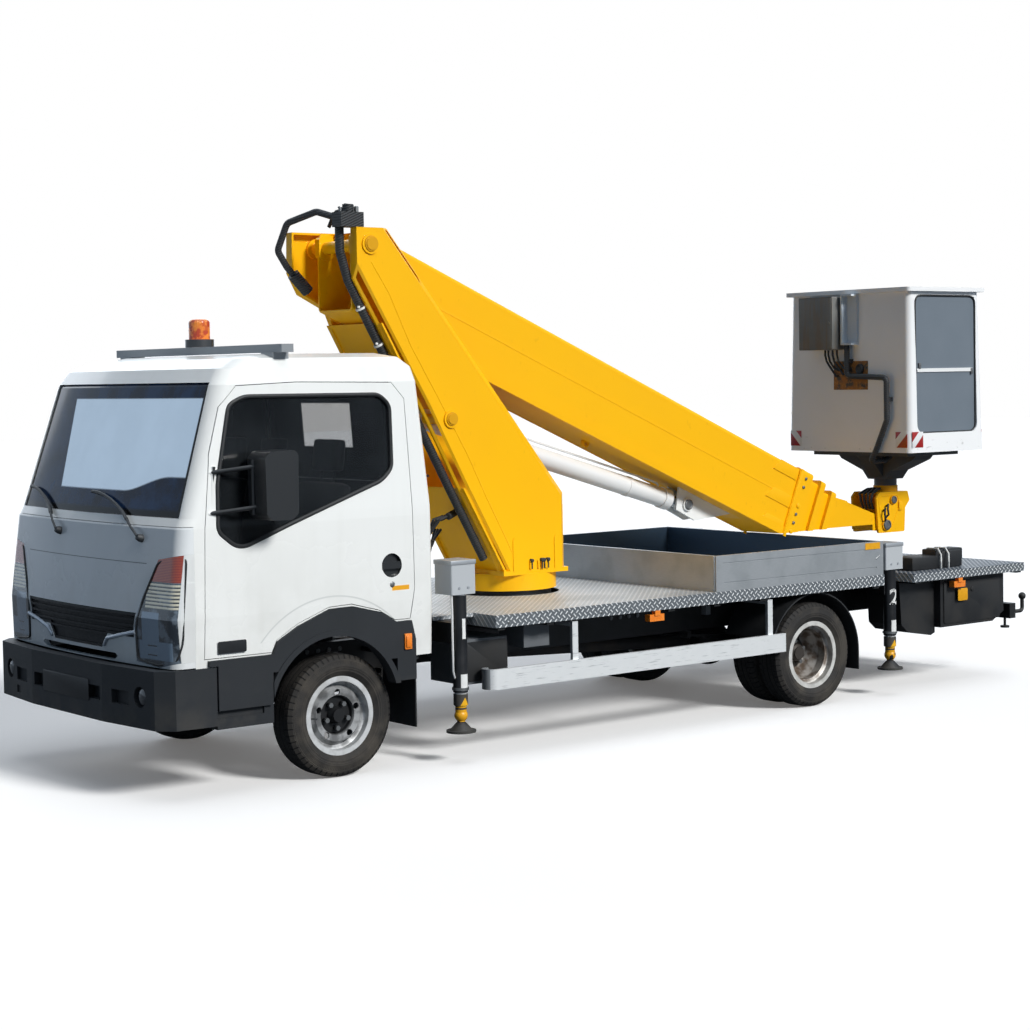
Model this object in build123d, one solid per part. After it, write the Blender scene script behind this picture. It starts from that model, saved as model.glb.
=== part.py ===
from build123d import *
from math import asin, atan2, cos, degrees, hypot, radians, sin, sqrt, tan
import os

# Truck-mounted telescopic platform. Millimetres, Z up, ground at Z 0.
# While modelling, X runs forward from the front axle and Y to the left. write() then moves every
# piece so that the origin is the middle of the footprint.

# ---------------------------------------------------------------- driving dimensions
WHEELBASE = 3400
FRONT_OVERHANG = 1120
REAR_OVERHANG = 2220
FRONT_END = FRONT_OVERHANG
REAR_END = -WHEELBASE - REAR_OVERHANG
CENTRE_X = (FRONT_END + REAR_END) / 2
RUNNING_GAP = 0.3
MOVING_GAP = 6

# wheels
TYRE_RADIUS = 320
TYRE_WIDTH = 190
RIM_WIDTH = 152
RIM_FLANGE_RADIUS = 206
RIM_SEAT_RADIUS = 186
RIM_THICKNESS = 8
FRONT_TRACK = 1550
TWIN_SPACING = 224
REAR_TRACK = 1506
HUB_BORE_RADIUS = 26
AXLE_Z = TYRE_RADIUS
REAR_AXLE_X = -WHEELBASE
KINGPIN_Y = 690

# chassis
RAIL_Y = 400
RAIL_HEIGHT = 170
RAIL_FLANGE = 60
RAIL_THICKNESS = 6
SUBFRAME_Y = 398
RAIL_TOP = 640
RAIL_FRONT = 860
RAIL_REAR = REAR_END + 330
SUBFRAME_TOP = 700
SUBFRAME_FRONT = -620

# cab
CAB_WALL = 45
CAB_REAR = -555
CAB_SKIRT_Z = 600
FOOT_FLOOR_Z = 700
SEAT_DECK_Z = 860
BUMPER_REAR = 775
BUMPER_TOP = 656
BUMPER_BOTTOM = 366
ARCH_RADIUS = 385
ARCH_X = 85
ARCH_Z = 365
SHUT_GAP = 4

# deck, tray and rear deck
DECK_TOP = 774
PLATE = 5
DECK_LIP = 68
DECK_HALF_WIDTH = 1000
DECK_FRONT = -910
DECK_REAR = REAR_AXLE_X - 590
NARROW_FRONT = -640
NARROW_HALF_WIDTH = 800
REAR_DECK_TOP = 757
REAR_DECK_LIP = 55
REAR_DECK_FRONT = REAR_AXLE_X - 865
REAR_DECK_REAR = REAR_END + 255
BOARD_THICKNESS = 25
BOARD_TOP = 985
TRAY_LENGTH = 1440
TRAY_REAR = DECK_REAR + 10
TRAY_FRONT = TRAY_REAR + TRAY_LENGTH

# outriggers
LEG_FRONT_X = -700
LEG_REAR_X = REAR_AXLE_X - 685
LEG_Y = 955
SLEEVE_RADIUS = 40
SLEEVE_BORE = 32
LEG_RADIUS = 31
SLEEVE_BOTTOM = 380
FOOT_Z = 165
FOOT_RADIUS = 80

# turret and boom
SLEW_X = -1760
COLLAR_RADIUS = 300
COLLAR_BOTTOM = 800
TURRET_BOTTOM = 920
TURRET_TOP = 2890
TURRET_HALF_WIDTH = 290
TURRET_FLANGE = 60
TURRET_PLATE = 12
PIVOT_X = -630
PIVOT_Z = 2800
PIVOT_RADIUS = 35
BOOM_ANGLE = 23.4
BOOM_HEIGHT = 460
BOOM_WIDTH = 340
BOOM_WALL = 10
BOOM_TOP_OFFSET = 104
BOOM_END = 3865
SECTION_GAP = 12
SECTION_WALL = 8
BUTT_FRONT = -60
SECTION_STEP = 140
CYLINDER_BASE_X = -1160
CYLINDER_BASE_Z = 1820
CYLINDER_EYE_X = -3190
CYLINDER_EYE_Z = 1220
BARREL_RADIUS = 60
ROD_RADIUS = 36
HEAD_PIVOT_X = -4990
HEAD_PIVOT_Z = 990
HEAD_HALF_WIDTH = 118
HEAD_PLATE = 16
HEAD_TOP = 1215

# basket
BASKET_X = -5120
BASKET_FLOOR_Z = 1500
BASKET_TOP_Z = 2605
BASKET_DEPTH = 760
BASKET_WIDTH = 1120
BASKET_WALL = 30
BASKET_FLARE = 20
RIM_LIP = 28

os.makedirs("parts", exist_ok=True)


# ---------------------------------------------------------------- helpers
def block(x0, x1, y0, y1, z0, z1):
    size = (abs(x1 - x0), abs(y1 - y0), abs(z1 - z0))
    return Pos((x0 + x1) / 2, (y0 + y1) / 2, (z0 + z1) / 2) * Box(*size)


def outline(points, radius=0):
    if radius:
        return make_face(FilletPolyline(*points, radius=radius, close=True))
    return make_face(Polyline(*points, close=True))


def side_prism(points, y0, y1, radius=0):
    """Extrudes an outline of (x, z) points across the vehicle, from y0 to y1."""
    low, high = sorted((y0, y1))
    return extrude(Plane.XZ.offset(-high) * outline(points, radius), high - low)


def front_prism(points, x0, x1, radius=0):
    """Extrudes an outline of (y, z) points along the vehicle, from x0 to x1."""
    low, high = sorted((x0, x1))
    return extrude(Plane.YZ.offset(low) * outline(points, radius), high - low)


def plan_prism(points, z0, z1, radius=0):
    """Extrudes an outline of (x, y) points upwards, from z0 to z1."""
    return extrude(Plane.XY.offset(z0) * outline(points, radius), z1 - z0)


def bar(start, end, radius):
    """A round bar between two points."""
    a, b = Vector(*start), Vector(*end)
    return Solid.make_cylinder(radius, (b - a).length, Plane(a, z_dir=b - a))


def cross_bar(x, z, radius, y0, y1):
    return bar((x, min(y0, y1), z), (x, max(y0, y1), z), radius)


def mirrored(shape):
    return mirror(shape, Plane.XZ)


def both(shape):
    return [shape, mirrored(shape)]


def joined(shapes):
    shapes = list(shapes)
    total = shapes[0]
    for shape in shapes[1:]:
        total = total + shape
    return total


def write(name, *shapes):
    """Writes one node: its solids, moved to the middle of the footprint."""
    solids = []
    for shape in shapes:
        solids += (Pos(-CENTRE_X, 0, 0) * shape).solids()
    export_step(Compound(solids), f"parts/{name}.step")


# ---------------------------------------------------------------- wheels
def ring_section(points, x, y_side):
    """Revolves an outline of (distance outwards, radius) points about a wheel's axle."""
    face = make_face(Polyline(*points, close=True))
    placed = Plane((x, 0, AXLE_Z), x_dir=(0, y_side, 0), z_dir=(y_side, 0, 0)) * face
    return revolve(placed, Axis((x, 0, AXLE_Z), (0, 1, 0)))


def tyre(x, y, side):
    half = TYRE_WIDTH / 2
    bead = RIM_WIDTH / 2 - 14
    sides = (
        (bead, RIM_SEAT_RADIUS + RUNNING_GAP),
        (half - 4, RIM_FLANGE_RADIUS + 24),
        (half, TYRE_RADIUS - 62),
        (half - 10, TYRE_RADIUS - 22),
        (half - 24, TYRE_RADIUS - 4),
        (half - 50, TYRE_RADIUS),
    )
    points = [(y + a, r) for a, r in sides] + [(y - a, r) for a, r in reversed(sides)]
    return ring_section(points, x, side)


def rim_barrel(x, y, side):
    half = RIM_WIDTH / 2
    seat, flange, t = RIM_SEAT_RADIUS, RIM_FLANGE_RADIUS, RIM_THICKNESS
    well = seat - 22
    points = (
        (y - half, flange), (y - half + 12, flange), (y - half + 12, seat), (y - 34, seat),
        (y - 24, well), (y + 24, well), (y + 34, seat), (y + half - 12, seat),
        (y + half - 12, flange), (y + half, flange), (y + half, seat - t), (y + 38, seat - t),
        (y + 28, well - t), (y - 28, well - t), (y - 38, seat - t), (y - half, seat - t),
    )
    return ring_section(points, x, side)


def wheel_disc(x, face_y, side, hub_out, hub_in):
    """Pressed disc with hand holes, five nuts' bosses and the hub; face_y is its bolting face."""
    reach = RIM_SEAT_RADIUS - 22 - RIM_THICKNESS + 2
    disc = (
        (face_y, HUB_BORE_RADIUS), (face_y, 92), (face_y + 30, 104), (face_y + 34, 136),
        (face_y + 6, reach), (face_y - 4, reach), (face_y + 24, 134), (face_y + 20, 108),
        (face_y - 10, 96), (face_y - 10, HUB_BORE_RADIUS),
    )
    solid = ring_section(disc, x, side)
    for k in range(5):
        angle = radians(72 * k + 18)
        hx, hz = x + 120 * cos(angle), AXLE_Z + 120 * sin(angle)
        solid -= bar((hx, side * (face_y - 40), hz), (hx, side * (face_y + 60), hz), 17)
        angle = radians(72 * k + 54)
        nx, nz = x + 68 * cos(angle), AXLE_Z + 68 * sin(angle)
        solid += bar((nx, side * (face_y - 2), nz), (nx, side * (face_y + 20), nz), 12)
    hub = (
        (face_y - hub_in, HUB_BORE_RADIUS), (face_y + hub_out, HUB_BORE_RADIUS),
        (face_y + hub_out, 34), (face_y + 8, 46), (face_y - hub_in, 52),
    )
    return solid + ring_section(hub, x, side)


def front_wheel(side, name):
    y = FRONT_TRACK / 2
    face = y + 22
    rim = rim_barrel(0, y, side) + wheel_disc(0, face, side, hub_out=34, hub_in=40)
    cap_y = face + 34
    rim += bar((0, side * (cap_y - 1), AXLE_Z), (0, side * (cap_y + 10), AXLE_Z), 34)
    write(f"tyre_front_{name}", tyre(0, y, side))
    write(f"rim_front_{name}", rim)


def twin_wheel(side, name):
    outer = REAR_TRACK / 2 + TWIN_SPACING / 2
    inner = outer - TWIN_SPACING
    middle = (outer + inner) / 2
    x = REAR_AXLE_X
    rim = rim_barrel(x, outer, side) + rim_barrel(x, inner, side)
    reach = RIM_SEAT_RADIUS - 22 - RIM_THICKNESS + 2
    dish = (
        (middle - 8, HUB_BORE_RADIUS + 20), (middle + 8, HUB_BORE_RADIUS + 20), (middle + 8, 112),
        (outer - 28, reach), (outer - 46, reach), (middle, 128), (inner + 46, reach),
        (inner + 28, reach), (middle - 8, 112),
    )
    rim += ring_section(dish, x, side)
    for k in range(5):
        angle = radians(72 * k + 18)
        nx, nz = x + 72 * cos(angle), AXLE_Z + 72 * sin(angle)
        rim += bar((nx, side * (middle + 6), nz), (nx, side * (middle + 32), nz), 12)
        angle = radians(72 * k + 54)
        hx, hz = x + 100 * cos(angle), AXLE_Z + 100 * sin(angle)
        rim -= bar((hx, side * (middle - 60), hz), (hx, side * (middle + 60), hz), 14)
    hub = (
        (middle - 130, HUB_BORE_RADIUS), (middle + 70, HUB_BORE_RADIUS), (middle + 70, 40),
        (middle + 60, 52), (middle - 10, 56), (middle - 60, 56), (middle - 60, 110),
        (middle - 130, 110),
    )
    rim += ring_section(hub, x, side)
    rim += bar((x, side * (middle + 68), AXLE_Z), (x, side * (middle + 78), AXLE_Z), 40)
    write(f"tyre_rear_{name}", tyre(x, outer, side), tyre(x, inner, side))
    write(f"rim_rear_{name}", rim)


for wheel_side, wheel_name in ((1, "left"), (-1, "right")):
    front_wheel(wheel_side, wheel_name)
    twin_wheel(wheel_side, wheel_name)


# ---------------------------------------------------------------- axles, knuckles and springs
BEAM_HALF = 30
EYE_RADIUS = 34
KINGPIN_RADIUS = 15
SPRING_Y = RAIL_Y
SPRING_SEAT_Z = AXLE_Z + 40


def front_axle_beam():
    top, low = SPRING_SEAT_Z, AXLE_Z + BEAM_HALF
    outer = KINGPIN_Y - 8
    points = [
        (-outer, low), (-520, low), (-470, top), (-340, top), (-290, 300), (290, 300),
        (340, top), (470, top), (520, low), (outer, low), (outer, low - 55), (510, low - 60),
        (330, 290), (280, 235), (-280, 235), (-330, 290), (-510, low - 60), (-outer, low - 55),
    ]
    beam = front_prism(points, -BEAM_HALF, BEAM_HALF)
    for y in (-KINGPIN_Y, KINGPIN_Y):
        beam += bar((0, y, low - 55), (0, y, low), EYE_RADIUS)
        beam -= bar((0, y, low - 60), (0, y, low + 5), KINGPIN_RADIUS + 0.05)
    return beam


def knuckle(side):
    """Fork round the beam's eye, its kingpin, the stub axle and a steering arm."""
    top = AXLE_Z + BEAM_HALF + 2
    low = AXLE_Z - 25 - 2
    web = KINGPIN_Y + EYE_RADIUS + MOVING_GAP
    spindle_end = FRONT_TRACK / 2 + 22 + 30
    parts = [bar((0, side * KINGPIN_Y, low - 24), (0, side * KINGPIN_Y, top + 24), KINGPIN_RADIUS)]
    for z in (low - 20, top):
        parts.append(bar((0, side * KINGPIN_Y, z), (0, side * KINGPIN_Y, z + 20), EYE_RADIUS))
        parts.append(block(-30, 30, side * KINGPIN_Y, side * (web + 14), z, z + 20))
    parts.append(block(-30, 30, side * web, side * (web + 14), low - 20, top + 20))
    parts.append(cross_bar(0, AXLE_Z, HUB_BORE_RADIUS - 0.1, side * (web + 5), side * spindle_end))
    parts.append(block(-170, -25, side * (web - 12), side * (web + 6), low - 20, low - 2))
    return joined(parts)


def leaf_spring(x, y, seat_z, half_length, rise):
    """A pack of three leaves, its eyes and its hangers up to the rail."""
    rail_bottom = RAIL_TOP - RAIL_HEIGHT
    parts = []
    for leaf, (share, drop) in enumerate(((1.0, 0), (0.78, 13), (0.55, 26))):
        reach = half_length * share
        lift = rise * share * share
        z = seat_z + 28 - drop
        with BuildSketch(Plane.XZ.offset(-(y + 32))) as leaf_face:
            with BuildLine():
                low = ThreePointArc((x - reach, z + lift), (x, z), (x + reach, z + lift))
                high = ThreePointArc((x - reach, z + lift + 14), (x, z + 14), (x + reach, z + lift + 14))
                Line(low @ 0, high @ 0)
                Line(low @ 1, high @ 1)
            make_face()
        parts.append(extrude(leaf_face.sketch, 64))
    parts.append(block(x - 55, x + 55, y - 40, y + 40, seat_z, seat_z + 60))
    for end in (-1, 1):
        eye_x = x + end * half_length
        eye_z = seat_z + 28 + rise + 7
        parts.append(cross_bar(eye_x, eye_z, 20, y - 36, y + 36))
        parts.append(block(eye_x - 16, eye_x + 16, y - 40, y + 40, eye_z, rail_bottom))
    return joined(parts)


def rear_axle():
    x, end = REAR_AXLE_X, REAR_TRACK / 2 - 132
    parts = [cross_bar(x, AXLE_Z, 55, -end, end)]
    parts.append(Pos(x, 0, AXLE_Z) * Sphere(150))
    spindle_end = REAR_TRACK / 2 + 66
    parts.append(cross_bar(x, AXLE_Z, HUB_BORE_RADIUS - 0.1, -spindle_end, spindle_end))
    for y in (-SPRING_Y, SPRING_Y):
        parts.append(block(x - 60, x + 60, y - 40, y + 40, AXLE_Z, AXLE_Z + 60))
    nose_x = x + 190
    parts.append(bar((x, 0, AXLE_Z), (nose_x, 0, AXLE_Z + 20), 60))
    return joined(parts)


ENGINE_REAR = -330
ENGINE_FRONT = 400
GEARBOX_END = -980
SHAFT_Z = AXLE_Z + 20
write("front_axle_beam", front_axle_beam())
write("knuckle_left", knuckle(1))
write("knuckle_right", knuckle(-1))
write("rear_axle_casing", rear_axle())
front_springs = both(leaf_spring(0, SPRING_Y, SPRING_SEAT_Z, 560, 44))
rear_springs = both(leaf_spring(REAR_AXLE_X, SPRING_Y, AXLE_Z + 60, 560, 30))
write("leaf_springs", *front_springs, *rear_springs)
engine = block(ENGINE_REAR, ENGINE_FRONT, -290, 290, 330, 770)
write("engine_block", engine)
gearbox = block(GEARBOX_END, ENGINE_REAR - RUNNING_GAP, -150, 150, 340, 620)
shaft_end = REAR_AXLE_X + 192.3
shaft = bar((GEARBOX_END + 5, 0, 450), (shaft_end, 0, SHAFT_Z + 2), 38)
write("propshaft", gearbox + shaft)


# ---------------------------------------------------------------- chassis frame
HOOK_Y = 800
BUMPER_BAR_Z = 430
CROSSMEMBERS = (800, -1250, -2150, REAR_AXLE_X + 650, REAR_AXLE_X - 600, REAR_AXLE_X - 1300, RAIL_REAR + 50)


def rail():
    top, bottom = RAIL_TOP, RAIL_TOP - RAIL_HEIGHT
    inner, t = RAIL_Y - RAIL_FLANGE, RAIL_THICKNESS
    points = [
        (RAIL_Y, top), (inner, top), (inner, top - t), (RAIL_Y - t, top - t),
        (RAIL_Y - t, bottom + t), (inner, bottom + t), (inner, bottom), (RAIL_Y, bottom),
    ]
    return front_prism(points, RAIL_REAR, RAIL_FRONT)


def corner_hook(side):
    """Swan-neck hook with its ball on the end of the underrun bar, and a step peg below it."""
    y, z = side * HOOK_Y, BUMPER_BAR_Z - 30
    root, bend = RAIL_REAR - 100, REAR_END + 26
    route = FilletPolyline((root + 60, y, z), (bend, y, z), (bend, y, z + 90), radius=24)
    neck = sweep(Plane(route @ 0, z_dir=route % 0) * Circle(13), route)
    ball = Pos(bend, y, z + 100) * Sphere(25)
    peg = bar((root - 20, y, z - 90), (root - 20, y, z), 9)
    foot = bar((root - 20, y, z - 100), (root - 20, y, z - 86), 30)
    return joined((neck, ball, peg, foot))


def chassis_frame():
    parts = both(rail())
    web = RAIL_Y - RAIL_THICKNESS + 1
    for x in CROSSMEMBERS:
        parts.append(block(x - 35, x + 35, -web, web, RAIL_TOP - 110, RAIL_TOP - 20))
    # cab mounts: low pads in front, a hoop at the back
    for y in (-370, 370):
        parts.append(block(560, 700, y - 30, y + 30, RAIL_TOP - 5, FOOT_FLOOR_Z - 40 - RUNNING_GAP))
        parts.append(block(-500, -440, y - 30, y + 30, RAIL_TOP - 5, SEAT_DECK_Z - 40 - RUNNING_GAP))
    bar_x = RAIL_REAR - 40
    parts.append(block(bar_x - 30, bar_x + 30, -930, 930, BUMPER_BAR_Z - 50, BUMPER_BAR_Z + 50))
    for y in (-370, 370):
        parts.append(block(bar_x - 20, RAIL_REAR + 60, y - 29, y + 29, BUMPER_BAR_Z - 40, RAIL_TOP - 10))
    for side in (-1, 1):
        parts.append(corner_hook(side))
    return joined(parts)


write("chassis_frame", chassis_frame())


# ---------------------------------------------------------------- cab shell
# columns: height, front at the centre line, rear, half width, bow of the front, corner radius
CAB_SECTIONS = (
    (600, 1050, CAB_REAR, 925, 60, 60),
    (900, 1055, CAB_REAR, 936, 60, 66),
    (1340, 1000, CAB_REAR, 936, 60, 76),
    (1390, 975, CAB_REAR, 934, 62, 76),
    (2040, 770, CAB_REAR + 50, 893, 64, 84),
    (2120, 715, CAB_REAR + 66, 868, 64, 84),
    (2170, 600, CAB_REAR + 110, 815, 60, 84),
    (2192, 420, CAB_REAR + 190, 720, 50, 84),
)


def cab_section(z, front, rear, half, bow, corner, inset):
    """One rounded plan outline of the cab, drawn in by inset."""
    front, rear, half = front - inset, rear + inset, half - inset
    rear_corner = 40
    cut = 0.293
    side_front = front - bow - corner
    bow_y = half - corner
    bow_x = front - bow * (bow_y / half) ** 2
    with BuildSketch(Plane.XY.offset(z)) as section:
        with BuildLine():
            Line((rear, -half + rear_corner), (rear, half - rear_corner))
            middle = rear_corner * cut
            ThreePointArc(
                (rear, half - rear_corner), (rear + middle, half - middle), (rear + rear_corner, half)
            )
            Line((rear + rear_corner, half), (side_front, half))
            mid_x = side_front + (bow_x - side_front) * 0.72
            ThreePointArc((side_front, half), (mid_x, half - corner * 0.3), (bow_x, bow_y))
            ThreePointArc((bow_x, bow_y), (front, 0), (bow_x, -bow_y))
            ThreePointArc((bow_x, -bow_y), (mid_x, -half + corner * 0.3), (side_front, -half))
            Line((side_front, -half), (rear + rear_corner, -half))
            ThreePointArc(
                (rear + rear_corner, -half), (rear + middle, -half + middle), (rear, -half + rear_corner)
            )
        make_face()
    return section.sketch.faces()[0]


def cab_form(inset):
    """The cab's outer form, drawn in on every side but the bottom by inset."""
    faces = []
    for z, front, rear, half, bow, corner in CAB_SECTIONS:
        height = z if z < 1500 else z - inset
        faces.append(cab_section(height, front, rear, half, bow, corner, inset))
    return Solid.make_loft([f.outer_wire() for f in faces], ruled=True)


GLASS_INSET = 7
GLASS_THICKNESS = 5
cab_outer = cab_form(0)
cab_inner = cab_form(CAB_WALL)
cab_glass_outer = cab_form(GLASS_INSET)
cab_glass_inner = cab_form(GLASS_INSET + GLASS_THICKNESS)
glass_skin = cab_glass_outer - cab_glass_inner

DOOR_OUTLINE = (
    (830, 700), (815, 1340), (770, 1700), (700, 1930), (600, 2032), (250, 2045), (-330, 2035),
    (-405, 1950), (-420, 1400), (-425, 960), (-395, 800), (-300, 800), (-200, 860), (-30, 905),
    (110, 900), (300, 830), (420, 760), (450, 700),
)
WINDOW_OUTLINE = (
    (650, 1940), (560, 1980), (-250, 1975), (-312, 1920), (-305, 1590), (-240, 1530),
    (300, 1345), (590, 1238), (650, 1245), (745, 1320), (735, 1560),
)
WINDSCREEN_OUTLINE = ((-866, 1392), (866, 1392), (824, 2052), (-824, 2052))
REAR_WINDOW_OUTLINE = ((-640, 1500), (640, 1500), (600, 1950), (-600, 1950))
MASK_TOP_Z = 1352
MASK_LOW_Z = 662
MASK_BACK_X = 880
HEADLAMP_OUTLINE = (
    (985, 1225), (760, 1190), (648, 1000), (590, 860), (598, 680), (800, 664), (960, 700), (985, 780),
)
GRILLE_OUTLINE = (
    (-604, 920), (604, 920), (582, 850), (582, 796), (330, 796), (270, 722), (-270, 722), (-330, 796),
    (-582, 796), (-582, 850),
)
INTAKE_OUTLINE = ((-420, 690), (-390, 668), (390, 668), (420, 690), (400, 704), (-400, 704))


def grown_prism(points, amount, low, high, plane):
    """Prism of an outline grown by amount, between two stations on XZ or YZ."""
    face = make_face(Polyline(*points, close=True))
    if amount:
        face = offset(face, amount, kind=Kind.INTERSECTION)
    if plane == "side":
        return extrude(Plane.XZ.offset(-high) * face, high - low)
    return extrude(Plane.YZ.offset(low) * face, high - low)


def wheel_arch(radius, y0, y1):
    return cross_bar(ARCH_X, ARCH_Z, radius, y0, y1)


def cab_shell():
    shell = cab_outer - (cab_inner - block(-700, 1200, -950, 950, 0, SEAT_DECK_Z))
    # hollow out the footwell, the engine tunnel and the underside
    footwell = block(470, 1200, -950, 950, FOOT_FLOOR_Z, SEAT_DECK_Z + 1)
    shell -= cab_inner & footwell
    shell -= block(-700, 430, -880, 880, CAB_SKIRT_Z - 5, SEAT_DECK_Z - 40)
    shell -= block(429, 1200, -880, 880, CAB_SKIRT_Z - 5, FOOT_FLOOR_Z - 40)
    for y0, y1 in ((500, 1000), (-1000, -500)):
        shell -= wheel_arch(ARCH_RADIUS + 40, y0, y1)
    for y0, y1 in ((600, 1100), (-1100, -600)):
        shell -= grown_prism(DOOR_OUTLINE, SHUT_GAP, y0, y1, "side")
    shell -= grown_prism(WINDSCREEN_OUTLINE, 0, 650, 1200, "front")
    shell -= grown_prism(REAR_WINDOW_OUTLINE, 0, CAB_REAR - 50, CAB_REAR + 160, "front")
    shell -= block(MASK_BACK_X, 1300, -1000, 1000, CAB_SKIRT_Z - 20, MASK_TOP_Z)
    shell -= block(BUMPER_REAR - 5, 1300, -1000, 1000, CAB_SKIRT_Z - 20, BUMPER_TOP + RUNNING_GAP)
    return shell


def front_mask():
    mask = cab_outer - cab_form(30)
    mask &= block(MASK_BACK_X + RUNNING_GAP, 1300, -1000, 1000, MASK_LOW_Z, MASK_TOP_Z - 3)
    for sign in (1, -1):
        lamp = [(sign * y, z) for y, z in HEADLAMP_OUTLINE]
        mask -= grown_prism(lamp, RUNNING_GAP, 700, 1300, "front")
    mask -= grown_prism(GRILLE_OUTLINE, RUNNING_GAP, 700, 1300, "front")
    mask -= grown_prism(INTAKE_OUTLINE, 0, 700, 1300, "front")
    return max(mask.solids(), key=lambda s: s.volume)


def headlamp(sign):
    lamp = cab_outer - cab_form(90)
    points = [(sign * y, z) for y, z in HEADLAMP_OUTLINE]
    lamp &= grown_prism(points, 0, MASK_BACK_X + RUNNING_GAP, 1300, "front")
    return max(lamp.solids(), key=lambda s: s.volume)


def grille():
    """Back panel, five slats that follow the cab's bow, and the frame round them."""
    skin = cab_form(14) - cab_form(40)
    frame = skin & grown_prism(GRILLE_OUTLINE, 0, 800, 1300, "front")
    front = cab_form(4) - cab_form(14.5)
    front &= grown_prism(GRILLE_OUTLINE, 0, 800, 1300, "front")
    hollow = grown_prism(GRILLE_OUTLINE, -14, 700, 1300, "front")
    grid = front - hollow
    pitch = 30
    for k in range(4):
        z = 905 - 22 - pitch * k
        grid += front & hollow & block(700, 1300, -700, 700, z - 6, z + 6)
    return frame + grid


def door(sign):
    """A door as thick as the cab's wall, with its window cut, its handle and its mirror."""
    y0, y1 = (600, 1100) if sign > 0 else (-1100, -600)
    panel = (cab_outer - cab_inner) & grown_prism(DOOR_OUTLINE, 0, y0, y1, "side")
    panel = max(panel.solids(), key=lambda s: s.volume)
    panel -= grown_prism(WINDOW_OUTLINE, 0, y0, y1, "side")
    cup_x, cup_z = -285, 1085
    panel -= cross_bar(cup_x, cup_z, 62, sign * 916, sign * 960)
    panel += block(cup_x - 55, cup_x + 60, sign * 915, sign * 938, cup_z - 18, cup_z + 18)
    mirror_y = 1080
    parts = [panel]
    head = side_prism(((560, 1710), (420, 1715), (400, 1690), (405, 1400), (440, 1372), (550, 1372),
                       (585, 1400), (590, 1680)), sign * (mirror_y - 110), sign * (mirror_y + 60), 24)
    head = head & block(380, 600, sign * (mirror_y - 110), sign * (mirror_y + 60), 1300, 1800)
    parts.append(head)
    for z, x, y in ((1640, 770, 912), (1440, 790, 924)):
        parts.append(bar((x, sign * y, z - 30), (560, sign * 1040, z), 11))
    parts.append(bar((590, sign * 1022, 1400), (590, sign * 1022, 1670), 10))
    bracket = bar((785, sign * 920, 1290), (752, sign * 914, 1640), 13)
    parts.append(bracket)
    return joined(parts)


def door_glass(sign):
    y0, y1 = (600, 1100) if sign > 0 else (-1100, -600)
    pane = glass_skin & grown_prism(WINDOW_OUTLINE, -RUNNING_GAP, y0, y1, "side")
    return max(pane.solids(), key=lambda s: s.volume)


write("cab_shell", cab_shell())
write("front_mask", front_mask())
write("headlamps", headlamp(1), headlamp(-1))
write("grille", grille())
windscreen = glass_skin & grown_prism(WINDSCREEN_OUTLINE, -RUNNING_GAP, 650, 1200, "front")
rear_window = glass_skin & grown_prism(
    REAR_WINDOW_OUTLINE, -RUNNING_GAP, CAB_REAR - 50, CAB_REAR + 160, "front"
)
write("cab_glass", windscreen, rear_window)
for door_side, door_name in ((1, "left"), (-1, "right")):
    write(f"door_{door_name}", door(door_side))
    write(f"door_glass_{door_name}", door_glass(door_side))


# ---------------------------------------------------------------- cab front, trim and inside

def front_bumper():
    """Moulded bumper: a bowed shell with four slots and two fog lamp wells."""
    front, end_x = FRONT_END, BUMPER_REAR
    plan = [(end_x, -945), (1000, -938), (1075, -860), (front, -400), (front, 400), (1075, 860),
            (1000, 938), (end_x, 945), (end_x, 890), (960, 880), (1020, 810), (front - 62, 380),
            (front - 62, -380), (1020, -810), (960, -880), (end_x, -890)]
    shell = plan_prism(plan, BUMPER_BOTTOM, BUMPER_TOP)
    shell += block(front - 100, front - 61, -395, 395, BUMPER_BOTTOM + 20, BUMPER_TOP - 20)
    for y in (-560, -300, 300, 560):
        slot = block(front - 40, front + 10, y - 75, y + 75, 470, 540)
        shell -= slot
    for y in (-735, 735):
        shell -= bar((1040, y, 520), (1200, y, 520), 52)
        shell += bar((1035, y, 520), (1066, y, 520), 50)
    for y in (-370, 370):
        shell += block(RAIL_FRONT + RUNNING_GAP, front - 60, y - 25, y + 25, RAIL_TOP - RAIL_HEIGHT, 600)
    return shell - block(front - 30, front + 10, -640, -590, 400, 440)


def arch_moulding(sign):
    """Wheel arch moulding, the sill under the door and the step below it, one piece a side."""
    y0, y1 = sorted((sign * 915, sign * 950))
    points = [
        (815, 690), (815, 662), (768, 662), (768, 440), (455, 440), (455, 600), (-300, 600), (-300, 480),
        (-420, 480), (-420, 690), (-396, 790), (-300, 790), (-202, 850), (-30, 893), (112, 890),
        (302, 818), (424, 750), (452, 690),
    ]
    panel = side_prism(points, y0, y1) - cab_form(-RUNNING_GAP)
    panel = max(panel.solids(), key=lambda s: s.volume)
    panel -= wheel_arch(ARCH_RADIUS, y0 - 10, y1 + 10)
    lip = wheel_arch(ARCH_RADIUS + 30, sign * 880, sign * 956)
    lip -= wheel_arch(ARCH_RADIUS, sign * 870, sign * 960)
    lip &= block(-700, 455, sign * 870, sign * 960, 470, 900)
    step = block(500, 768, sign * 640, sign * 930, 345, 400)
    step -= block(520, 750, sign * 660, sign * 925, 390, 410)
    riser = block(500, 768, sign * 900, sign * 918, 380, 445)
    hanger = block(500, 768, sign * 640, sign * 700, 399, FOOT_FLOOR_Z - 40 - RUNNING_GAP)
    inner = block(445, 501, sign * 640, sign * 930, 345, FOOT_FLOOR_Z - 40 - RUNNING_GAP)
    inner -= block(440, 502, sign * 878, sign * 940, 590, 700)
    return joined((panel, lip, step, hanger, riser, inner))


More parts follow.
